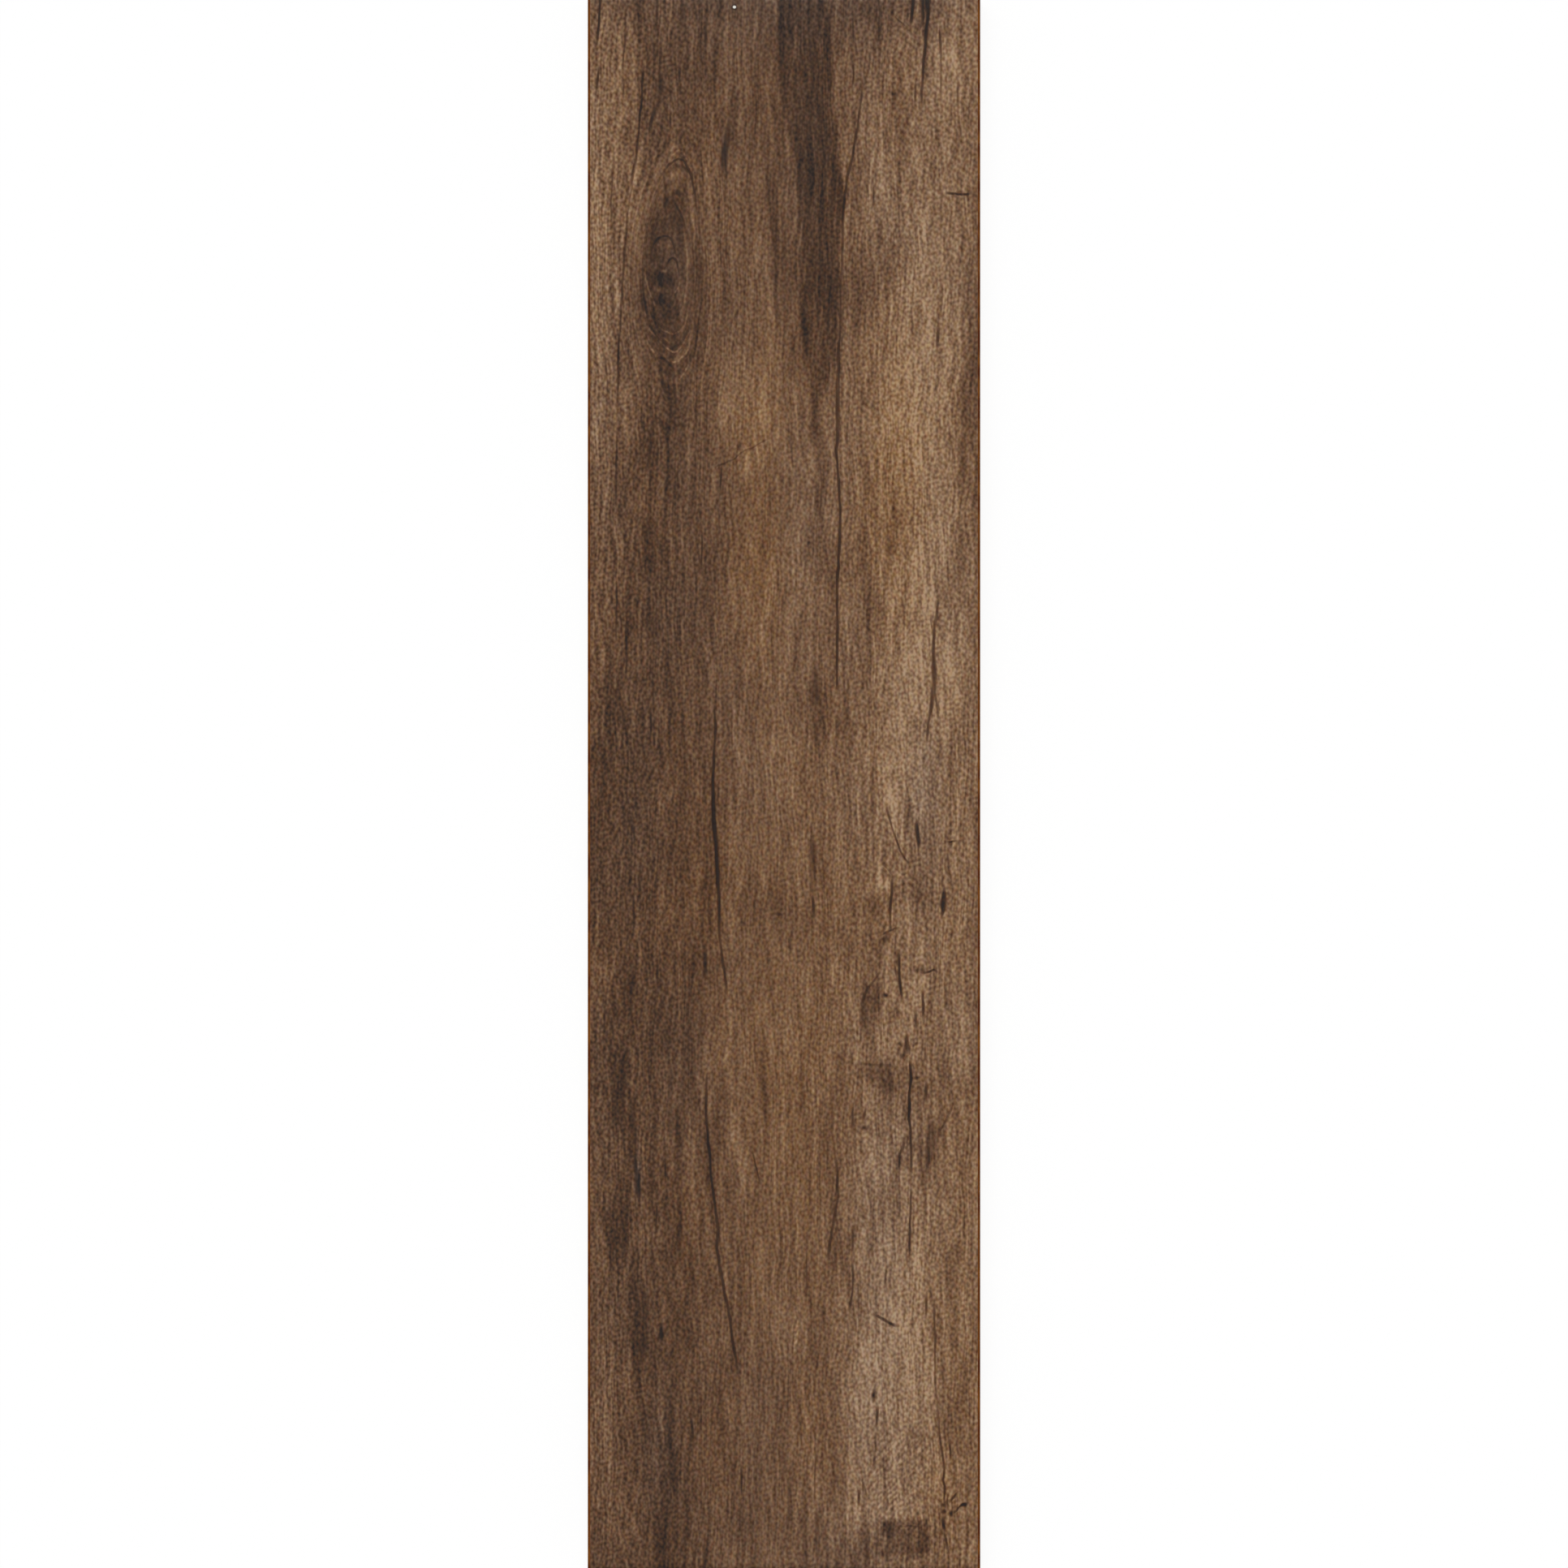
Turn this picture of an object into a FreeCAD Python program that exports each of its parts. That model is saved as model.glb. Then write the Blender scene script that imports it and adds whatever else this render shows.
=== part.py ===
"""Wood-look porcelain plank tile: one piece, dry pressed, printed, glazed and fired.

Millimetres, +Z up. The tile lies on its back with its face up, its length along Y and
its width along X. The origin is the centre of the back, where two key ribs cross.
"""

import FreeCAD
import Part
import math
import os

# Body
LENGTH = 600.0
WIDTH = 150.0
THICKNESS = 9.0

# Edges: the face rolls over into a pillowed arris, and the foot of each wall is bevelled
ARRIS_RADIUS = 0.8
FOOT_BEVEL = 1.0

# Back key: rows of shallow pockets pressed into the back, with ribs between them
KEY_DEPTH = 0.7
KEY_PITCH = 14.0
KEY_RIB_WIDTH = 3.0
KEY_BORDER = 5.0
KEY_DRAFT_ANGLE = 35.0

NODE = "plank_tile"
PARTS_FOLDER = "parts"


def edge_section(span):
    """Upright section across the tile: a face in the XZ plane, span wide, centred on X."""
    half = span / 2
    arris_slack = ARRIS_RADIUS * (1 - math.sqrt(0.5))
    shoulder = THICKNESS - ARRIS_RADIUS

    def point(x, z):
        return FreeCAD.Vector(x, 0, z)

    def arris(side):
        """Quarter round from the wall up to the face, on the side whose X has that sign."""
        wall_end = point(side * half, shoulder)
        middle = point(side * (half - arris_slack), THICKNESS - arris_slack)
        face_end = point(side * (half - ARRIS_RADIUS), THICKNESS)
        return Part.Arc(wall_end, middle, face_end).toShape()

    left_foot = point(FOOT_BEVEL - half, 0)
    right_foot = point(half - FOOT_BEVEL, 0)
    left_wall = point(-half, FOOT_BEVEL)
    right_wall = point(half, FOOT_BEVEL)
    outline = [
        Part.makeLine(left_foot, right_foot),
        Part.makeLine(right_foot, right_wall),
        Part.makeLine(right_wall, point(half, shoulder)),
        arris(1),
        Part.makeLine(point(half - ARRIS_RADIUS, THICKNESS), point(ARRIS_RADIUS - half, THICKNESS)),
        arris(-1),
        Part.makeLine(point(-half, shoulder), left_wall),
        Part.makeLine(left_wall, left_foot),
    ]
    return Part.Face(Part.Wire(Part.__sortEdges__(outline)))


def pressed_blank():
    """The tile before its back is keyed: what the cross section and the long section share."""
    along = edge_section(WIDTH)
    along.translate(FreeCAD.Vector(0, -LENGTH / 2, 0))
    cross_bar = along.extrude(FreeCAD.Vector(0, LENGTH, 0))

    across = edge_section(LENGTH)
    across.rotate(FreeCAD.Vector(0, 0, 0), FreeCAD.Vector(0, 0, 1), 90)
    across.translate(FreeCAD.Vector(-WIDTH / 2, 0, 0))
    long_bar = across.extrude(FreeCAD.Vector(WIDTH, 0, 0))
    return cross_bar.common(long_bar)


def key_spacing(span):
    """Count and pitch of the pockets along one side: an even count, so a rib lies at mid span."""
    keyed = span - 2 * (FOOT_BEVEL + KEY_BORDER) + KEY_RIB_WIDTH
    count = max(2, 2 * round(keyed / KEY_PITCH / 2))
    return count, keyed / count


def rectangle(size_x, size_y, z):
    """Closed wire of a rectangle centred on the Z axis, at height z."""
    half_x = size_x / 2
    half_y = size_y / 2
    corners = [(-half_x, -half_y), (half_x, -half_y), (half_x, half_y), (-half_x, half_y)]
    points = [FreeCAD.Vector(x, y, z) for x, y in corners]
    return Part.makePolygon(points + points[:1])


def pocket(size_x, size_y):
    """Cutter for one pocket: open at the back, narrowing by the mould's draft to its floor."""
    inset = 2 * KEY_DEPTH * math.tan(math.radians(KEY_DRAFT_ANGLE))
    mouth = rectangle(size_x, size_y, 0)
    floor = rectangle(size_x - inset, size_y - inset, KEY_DEPTH)
    return Part.makeLoft([mouth, floor], True, True)


def back_key():
    """All pocket cutters, in rows and columns that are symmetric about the origin."""
    columns, pitch_x = key_spacing(WIDTH)
    rows, pitch_y = key_spacing(LENGTH)
    cutter = pocket(pitch_x - KEY_RIB_WIDTH, pitch_y - KEY_RIB_WIDTH)
    pockets = []
    for column in range(columns):
        for row in range(rows):
            x = (column - (columns - 1) / 2) * pitch_x
            y = (row - (rows - 1) / 2) * pitch_y
            pockets.append(cutter.translated(FreeCAD.Vector(x, y, 0)))
    return pockets


def plank_tile():
    """The finished tile as one solid."""
    keyed = pressed_blank().cut(back_key())
    return keyed.Solids[0]


os.makedirs(PARTS_FOLDER, exist_ok=True)
tile = plank_tile()
tile.exportStep(os.path.join(PARTS_FOLDER, NODE + ".step"))
size = tile.BoundBox
print(f"{NODE}: {size.XLength:.2f} x {size.YLength:.2f} x {size.ZLength:.2f} mm")
print(f"volume {tile.Volume / 1000:.1f} cm3, {len(tile.Faces)} faces, valid {tile.isValid()}")
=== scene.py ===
"""Looks of a wood-look porcelain plank tile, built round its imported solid.

The tile is pressed and embossed by a Geometry Nodes tree, printed and glazed by a shader tree,
and laid face up on a white floor under soft light. Metres, +Z up, length along Y.
"""

import math
from collections import namedtuple

import bmesh
import bpy
from bpy.props import FloatProperty, FloatVectorProperty, IntProperty, PointerProperty
from bpy.types import Operator, Panel, PropertyGroup
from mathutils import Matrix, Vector


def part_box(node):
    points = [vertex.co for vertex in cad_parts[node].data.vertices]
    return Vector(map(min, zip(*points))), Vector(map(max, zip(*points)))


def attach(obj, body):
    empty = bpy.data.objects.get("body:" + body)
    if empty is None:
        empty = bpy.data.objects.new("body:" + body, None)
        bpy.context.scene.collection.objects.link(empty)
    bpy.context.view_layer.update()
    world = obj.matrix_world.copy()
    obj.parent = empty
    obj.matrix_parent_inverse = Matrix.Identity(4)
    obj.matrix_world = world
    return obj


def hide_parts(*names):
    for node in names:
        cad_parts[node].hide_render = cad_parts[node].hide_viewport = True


bl_info = {
    "name": "Wood-look plank tile",
    "version": (1, 0, 0),
    "blender": (4, 5, 0),
    "location": "View3D > Sidebar > Plank",
    "description": "Presses, prints and lights a wood-look porcelain plank tile",
    "category": "Object",
}

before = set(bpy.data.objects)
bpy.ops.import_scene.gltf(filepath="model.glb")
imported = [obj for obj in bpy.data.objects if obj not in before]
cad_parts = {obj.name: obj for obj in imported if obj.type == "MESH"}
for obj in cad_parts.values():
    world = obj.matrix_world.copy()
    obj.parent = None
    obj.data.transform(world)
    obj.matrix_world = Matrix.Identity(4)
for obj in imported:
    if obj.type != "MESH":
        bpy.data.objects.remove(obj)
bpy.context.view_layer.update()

NODE = "plank_tile"
BODY = "root"

NODE_LOW, NODE_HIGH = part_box(NODE)
TILE_WIDTH = NODE_HIGH.x - NODE_LOW.x
TILE_LENGTH = NODE_HIGH.y - NODE_LOW.y
TILE_THICKNESS = NODE_HIGH.z - NODE_LOW.z
MILLIMETRE = 0.001

# The print: its places are dots of the photograph's frame, columns to the right and rows down
PRINT_SIDE = 1932
PRINT_MIDDLE = PRINT_SIDE / 2
DOT = TILE_LENGTH / PRINT_SIDE
HALF_COLUMNS = TILE_WIDTH / DOT / 2

# A spot is a soft oval: its centre, half sizes, tone (of 255) and turn in degrees
Spot = namedtuple("Spot", "col row half_cols half_rows tone turn", defaults=(0.0,))

# A band runs down the board between two edges: how soft they are in dots, then (row, left, right, tone)
Band = namedtuple("Band", "soft bends")

# A layer is noise with a cell of so many dots across and along, its seed, strength and octaves
Layer = namedtuple("Layer", "across along seed strength detail", defaults=(1.0, 0.0))

# Noise is turned, so that its rows lie aslant to the board, and moved on by its seed
NOISE_TURN = math.radians(33)
SEED_STEPS = (17.31, 7.93)

# Mean tone across the board, from the dark left side to the pale right side
BOARD_TONE = [(724, 78), (755, 73), (790, 70), (840, 72), (870, 77), (905, 85), (945, 91), (980, 93),
              (1005, 90), (1030, 92), (1060, 100), (1105, 108), (1145, 106), (1175, 102), (1208, 100)]

# Broad tones: pale and dark patches whose rims fray along the grain
BROAD_TONES = {
    "shade of the far end": Spot(960, -5, 330, 62, -10),
    "shade of the far end, right": Spot(1100, 15, 90, 110, -22),
    "shade under it": Spot(1108, 150, 40, 120, -13),
    "shade beyond the dark figure": Spot(1062, 110, 40, 190, -11),
    "shade before the dark figure": Spot(935, 110, 44, 260, -14),
    "pale left edge": Spot(732, 290, 66, 640, 29),
    "pale strip beside it": Spot(781, 200, 38, 330, 19),
    "pale strip beside the knot's tail": Spot(784, 460, 24, 150, 13),
    "pale strip at the far right": Spot(1168, 90, 32, 120, 18),
    "upper pale streak": Spot(1132, 470, 52, 210, 19),
    "middle pale streak": Spot(1130, 780, 48, 180, 20),
    "pale spot right of the right split": Spot(1176, 815, 22, 105, 15),
    "pale above the right split": Spot(1160, 640, 22, 70, 10),
    "pale tail": Spot(1096, 960, 24, 130, 15),
    "light centre": Spot(918, 515, 64, 130, 17),
    "light middle": Spot(926, 740, 38, 140, 10),
    "light line left of the split": Spot(975, 690, 20, 160, 6),
    "brown line right of the split": Spot(1070, 725, 20, 140, -17),
    "brown patch": Spot(1106, 622, 16, 42, -11),
    "brown shade below the split": Spot(1040, 872, 110, 48, -11),
    "light left line": Spot(757, 705, 13, 90, 9),
    "light left edge": Spot(737, 800, 12, 60, 9),
    "dark left side": Spot(752, 1010, 60, 230, -7),
    "light right of the left split": Spot(905, 1090, 18, 110, 9),
    "shade left of the left split": Spot(862, 1195, 24, 60, -11),
    "brown before the small knots": Spot(932, 1095, 24, 50, -9),
    "shade over the small knots": Spot(1115, 1080, 60, 90, -8),
    "shade left of the small knots": Spot(1070, 1180, 15, 110, -11),
    "dark left edge": Spot(755, 1350, 40, 140, -9),
    "blotch of the lower knot": Spot(1108, 1335, 46, 34, -17),
    "shade right of the lower knot": Spot(1163, 1345, 26, 95, -13),
    "shade below the lower knot": Spot(1140, 1425, 32, 70, -15),
    "shade left of the lower knot": Spot(1070, 1325, 18, 60, -9),
    "light before the lower split": Spot(853, 1480, 18, 120, 6),
    "light after the lower split": Spot(904, 1390, 28, 120, 7),
    "shade round the lower middle split": Spot(1034, 1495, 22, 110, -10),
    "shade at the lower right edge": Spot(1183, 1735, 28, 110, -14),
    "pale left foot": Spot(750, 1760, 34, 190, 9),
    "dark left column": Spot(786, 1645, 20, 80, -11),
    "brown foot": Spot(930, 1800, 90, 170, -9),
    "brown near end": Spot(1090, 1925, 160, 60, -13),
}

# Bands and patches with clearer edges
BANDS = {
    "dark figure": Band(5, [
        (-20, 957, 1020, -30), (60, 958, 1024, -33), (94, 959, 1026, -36), (126, 964, 1027, -37),
        (157, 972, 1029, -37), (189, 977, 1031, -37), (220, 980, 1039, -37), (245, 984, 1043, -36),
        (270, 987, 1036, -35), (315, 990, 1034, -33), (377, 988, 1033, -35), (420, 990, 1031, -31),
        (450, 995, 1029, -26), (480, 1001, 1012, -25), (525, 1002, 1010, -22), (580, 1005, 1011, -12),
        (640, 1007, 1012, -9), (690, 1007, 1010, 0)]),
    "fading side of it": Band(8, [
        (110, 954, 962, 0), (160, 952, 976, -9), (210, 950, 984, -14), (320, 950, 992, -17),
        (380, 956, 990, -15), (440, 970, 996, -9), (490, 984, 1002, 0)]),
    "streak before it": Band(3, [
        (200, 944, 950, 0), (240, 944, 957, -15), (300, 951, 960, -15), (330, 956, 963, -13),
        (352, 960, 964, 0)]),
    "shade in its foot's corner": Band(9, [
        (275, 1042, 1108, 0), (305, 1042, 1112, -12), (345, 1042, 1098, -14), (385, 1042, 1085, -12),
        (420, 1042, 1070, -8), (455, 1045, 1055, 0)]),
    "dark right edge": Band(5, [
        (270, 1198, 1215, 0), (330, 1190, 1215, -13), (480, 1184, 1215, -18), (528, 1184, 1215, -20),
        (545, 1176, 1215, -16), (590, 1180, 1215, -11), (650, 1196, 1215, 0)]),
    "pale after the left split": Band(5, [
        (1200, 866, 905, 0), (1225, 866, 905, 10), (1300, 866, 900, 14), (1335, 876, 896, 0)]),
    "left dark streak": Band(4, [
        (1160, 772, 782, 0), (1190, 771, 783, -14), (1225, 770, 783, -16), (1250, 771, 779, -10),
        (1290, 774, 779, -9), (1310, 767, 777, -14), (1345, 758, 776, -16), (1385, 753, 768, -14),
        (1412, 752, 760, 0)]),
    "pale tongue of the small knots": Band(3, [
        (962, 1092, 1110, 0), (985, 1093, 1110, 11), (1010, 1098, 1114, 13), (1035, 1105, 1119, 12),
        (1056, 1114, 1122, 9), (1066, 1120, 1123, 0)]),
    "hollow of the small knot": Band(4, [
        (1203, 1076, 1086, 0), (1222, 1064, 1084, -20), (1250, 1058, 1081, -22), (1272, 1058, 1076, -16),
        (1288, 1060, 1070, 0)]),
    "left patch": Band(3, [
        (1486, 750, 772, 0), (1500, 748, 772, -12), (1550, 748, 773, -13), (1564, 750, 772, 0)]),
    "pale streak": Band(12, [
        (1400, 1070, 1130, 0), (1480, 1064, 1140, 4), (1560, 1060, 1146, 8), (1650, 1052, 1148, 13),
        (1740, 1043, 1154, 13), (1800, 1047, 1156, 10), (1872, 1060, 1150, 4), (1895, 1060, 1140, 0)]),
    "dark left foot": Band(4, [
        (1690, 794, 808, -5), (1765, 790, 812, -4), (1782, 808, 846, -10), (1825, 809, 842, -10),
        (1845, 811, 828, -10), (1905, 809, 826, -12), (1940, 812, 826, -9)]),
}

# The knot's shades, held in place
KNOT_SHADES = {
    "wood over it": Spot(824, 214, 44, 48, 11),
    "ground": Spot(813, 352, 38, 120, -16),
    "right flank": Spot(852, 300, 20, 96, 12),
    "eye": Spot(815, 346, 30, 30, -9),
    "left flank": Spot(792, 370, 12, 36, -7),
    "lower shade": Spot(823, 402, 38, 42, -15),
    "tail": Spot(822, 462, 18, 50, -10),
    "foot of the tail": Spot(826, 506, 14, 38, -13),
    "plume": Spot(818, 550, 22, 52, -12),
    "plume's right": Spot(828, 602, 17, 46, -14),
    "plume's foot": Spot(802, 672, 20, 56, -13),
}

# Patches a little lighter or darker than the broad tones, held in place, region by region
PATCHES = {
    "far end": [
        Spot(815, 15, 40, 64, 14), Spot(757, 95, 28, 120, 12), Spot(872, 75, 36, 76, -11),
        Spot(1058, 10, 32, 44, -8), Spot(1146, 15, 32, 50, -9), Spot(1167, 142, 24, 44, -12),
        Spot(831, 140, 24, 40, 9), Spot(735, 20, 22, 46, 9)],
    "knot": [
        Spot(856, 250, 20, 66, 11), Spot(763, 385, 26, 54, 12), Spot(757, 200, 22, 44, 10)],
    "foot of the dark figure": [
        Spot(1052, 235, 26, 66, -15), Spot(1040, 360, 46, 64, -10), Spot(1112, 322, 28, 44, -10),
        Spot(1167, 340, 26, 140, 9), Spot(1185, 430, 26, 54, 8)],
    "upper middle": [
        Spot(927, 560, 24, 110, 10), Spot(1100, 520, 44, 56, 10), Spot(1026, 560, 20, 50, 10),
        Spot(806, 600, 22, 120, 9), Spot(1167, 500, 24, 44, 8), Spot(1191, 622, 20, 44, 9)],
    "splits": [
        Spot(999, 680, 18, 44, -14), Spot(1097, 655, 24, 60, -11), Spot(1165, 720, 28, 54, -8),
        Spot(793, 803, 28, 44, 11), Spot(1163, 855, 36, 96, 13), Spot(903, 862, 20, 44, -9),
        Spot(1010, 862, 38, 44, -8), Spot(927, 800, 22, 50, 10), Spot(1047, 830, 20, 60, -9)],
    "left split": [
        Spot(1071, 985, 18, 110, -9), Spot(732, 1000, 20, 140, -9), Spot(818, 985, 32, 64, 10),
        Spot(1023, 1010, 22, 110, 16)],
    "small knots": [
        Spot(1096, 975, 18, 44, 10), Spot(1194, 1040, 18, 44, 13), Spot(965, 1120, 38, 66, -10),
        Spot(1036, 1160, 28, 40, -9), Spot(1095, 1162, 20, 40, -9), Spot(1047, 1265, 20, 90, 13),
        Spot(1130, 1222, 28, 40, 15), Spot(1168, 1222, 16, 40, -11), Spot(808, 1255, 48, 66, -8)],
    "lower knot": [
        Spot(870, 1340, 26, 96, 12), Spot(1095, 1280, 18, 40, 9), Spot(1112, 1342, 36, 44, -12),
        Spot(1160, 1440, 36, 96, -9), Spot(975, 1280, 22, 96, 8), Spot(1192, 1342, 22, 44, -14)],
    "lower middle": [
        Spot(1084, 1490, 30, 76, -11), Spot(795, 1520, 30, 44, 12), Spot(831, 1595, 18, 66, 10),
        Spot(1062, 1620, 32, 76, -14), Spot(1095, 1580, 22, 40, -8)],
    "near end": [
        Spot(1112, 1785, 56, 88, -19), Spot(1160, 1880, 28, 56, -16), Spot(1050, 1855, 24, 66, 12),
        Spot(879, 1790, 20, 66, 8), Spot(912, 1885, 30, 54, -9), Spot(988, 1880, 28, 64, -10),
        Spot(1155, 1762, 50, 44, -10)],
}

# How the edges of the broad tones, bands and patches are led astray: two layers of noise, and how far
# they go, as columns by the ripple and rows by the fray
RIPPLE = Layer(24, 80, 4, detail=2.0)
FRAY = Layer(6, 300, 3, detail=2.0)
BOARD_RIPPLE = 20
BROAD_STRAY = (18, 150)
BAND_STRAY = (9, 70)
PATCH_STRAY = (8, 14)

# Where a line is full and where it ends, as shares of its half width, how far it takes to fade out at
# its tips, at most and as a share of its length, and how far it wavers in columns and in rows
LINE_FULL, LINE_END = 0.2, 0.95
LINE_FADE = 12
LINE_FADE_SHARE = 1 / 3
WAVER = Layer(9, 22, 5, detail=1.0)
LINE_WAVER = (2.4, 3.0)

# Lines are strung together: the gap left between them, how far each is held beyond its ends, and how
# far one string may reach
LINE_GAP = 2
LINE_HOLD = 5
STRING_REACH = 1000


def line(tone, half_width, *places):
    """One line through (along, across) places that fades out at both ends and keeps its width aslant."""
    bends = []
    last = len(places) - 1
    for index, (along, across) in enumerate(places):
        start, start_across = places[max(index - 1, 0)]
        end, end_across = places[min(index + 1, last)]
        aslant = math.hypot(1.0, (end_across - start_across) / (end - start))
        bends.append((along, across, 0.0 if index in (0, last) else tone, half_width * aslant))
    fade = min(LINE_FADE, (places[-1][0] - places[0][0]) * LINE_FADE_SHARE)
    for tip, inner, step in ((bends[0], bends[1], fade), (bends[-1], bends[-2], -fade)):
        share = step / (inner[0] - tip[0])
        if share < 1:
            across = tip[1] + (inner[1] - tip[1]) * share
            width = tip[3] + (inner[3] - tip[3]) * share
            bends.append((tip[0] + step, across, tone, width))
    return sorted(bends)


# Splits in the wood, which are embossed too: each bend has its row, column, tone and half width
SPLITS = {
    "far left line": [
        (80, 793, 0, 2), (92, 792.5, -32, 2.2), (125, 790.5, -34, 2.2), (150, 788.5, -36, 2.2),
        (187, 785, -36, 2.4), (212, 781, -34, 2.4), (238, 778, -24, 2.2), (262, 773.5, -16, 2),
        (286, 772, -26, 2.4), (323, 769, -30, 2.4), (361, 767, -32, 2.4), (398, 764.5, -32, 2.4),
        (436, 762.5, -34, 2.4), (480, 761.5, -26, 2.2), (525, 761, 0, 2)],
    "left split": [
        (865, 880.5, 0, 2.2), (880, 881, -32, 2.6), (903, 882, -34, 2.8), (932, 880, -36, 2.8),
        (962, 878.5, -44, 3.2), (987, 879, -46, 3.6), (1024, 881, -46, 4.2), (1049, 883, -46, 4.2),
        (1087, 885, -44, 3.8), (1124, 886, -40, 3.2), (1157, 887, -34, 2.8), (1187, 891, -32, 2.8),
        (1212, 895, -30, 2.6), (1234, 895.5, 0, 2.4)],
    "lower left split": [
        (1320, 871, 0, 2.4), (1333, 870.5, -36, 2.8), (1366, 870, -38, 2.8), (1394, 872, -36, 2.8),
        (1416, 874, -36, 2.8), (1454, 877, -34, 2.8), (1491, 882, -32, 3), (1516, 885, -32, 3),
        (1538, 883.5, -36, 3.2), (1556, 886, -30, 3), (1581, 891, -30, 3), (1601, 895, -34, 3.2),
        (1626, 900, -38, 3.2), (1643, 901.5, -30, 2.8), (1663, 905, -34, 3), (1676, 908, -28, 2.8),
        (1696, 908, 0, 2.4)],
    "middle split": [
        (102, 1063, 0, 2.2), (116, 1062, -30, 2.2), (160, 1056, -36, 2.4), (190, 1051, -40, 2.8),
        (220, 1043.5, -36, 2.8), (240, 1041, -30, 2.4), (268, 1038.5, -34, 2.6), (306, 1038, -34, 2.4),
        (336, 1036.5, -22, 2.4), (416, 1035, -24, 2.4), (430, 1033.5, -40, 3.2), (488, 1032, -42, 4),
        (540, 1032, -44, 3.6), (558, 1030.5, -48, 2.8), (578, 1032, -46, 2.6), (603, 1034, -46, 2.6),
        (633, 1035, -50, 2.6), (658, 1034.7, -48, 2.6), (685, 1033.5, -46, 2.6), (708, 1032, -46, 2.6),
        (732, 1031.5, -44, 2.4), (790, 1031.5, -44, 2.4), (845, 1031.5, -44, 2.4), (853, 1031, 0, 2.2)],
    "lower middle split": [
        (1336, 1024, 0, 3), (1360, 1025, -12, 3), (1394, 1026, -14, 2.8), (1419, 1028.5, -24, 2.6),
        (1444, 1032, -34, 2.6), (1474, 1032, -32, 2.6), (1486, 1030, -32, 2.6), (1513, 1026, -30, 2.6),
        (1541, 1021, -26, 2.6), (1562, 1019, 0, 2)],
    "right split": [
        (730, 1158, 0, 2), (745, 1155.5, -34, 2.4), (770, 1152, -42, 2.8), (795, 1150, -48, 3.4),
        (820, 1150.5, -50, 5.2), (842, 1150.5, -50, 5.6), (860, 1148.8, -50, 4.6), (880, 1145.5, -48, 3.2),
        (905, 1142.5, -46, 2.6), (922, 1140.5, 0, 2)],
    "small knot's line": [
        (1080, 1099.5, 0, 2), (1087, 1099.3, -48, 3), (1100, 1098.3, -46, 2.6), (1110, 1097.3, -54, 3),
        (1122, 1096, -50, 3), (1135, 1096, -36, 2.4), (1143, 1096.8, -28, 2.2), (1150, 1097, 0, 2)],
    "line below it": [
        (1170, 1106.8, 0, 2.2), (1177, 1107, -52, 2.6), (1190, 1107.8, -52, 2.6), (1203, 1108, -50, 2.6),
        (1213, 1108.8, -60, 3), (1222, 1110.3, -60, 2.9), (1229, 1112, -46, 2.4), (1236, 1113, 0, 2)],
    "blot's stem": [
        (1272, 1117, 0, 2.6), (1277, 1117, -54, 3.4), (1285, 1117.3, -60, 4.2), (1291, 1118, -64, 6.4),
        (1296, 1119.3, -56, 4.4), (1301, 1120, 0, 2.6)],
    "black split": [
        (1304, 1121.5, 0, 2.4), (1311, 1121.5, -48, 2.4), (1329, 1122.5, -54, 3), (1342, 1121, -52, 2.6),
        (1360, 1119.8, -60, 3), (1378, 1120, -66, 3.2), (1392, 1122, -54, 2.8), (1410, 1122, -52, 2.6),
        (1418, 1123, -44, 2.6), (1436, 1122, -46, 2.6), (1446, 1122, 0, 2.2)],
    "hairline": [
        (1602, 1151, 0, 2), (1614, 1151, -46, 2.4), (1650, 1152, -42, 2.2), (1678, 1152, -36, 2),
        (1703, 1152, -22, 2), (1738, 1155, -30, 2.2), (1770, 1158, -34, 2.2), (1796, 1162, -44, 2.4),
        (1812, 1163.5, -48, 2.4), (1822, 1161.5, -48, 2.6), (1830, 1163.8, -50, 2.6),
        (1842, 1163, -46, 2.4), (1850, 1163, 0, 2)],
}

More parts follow.
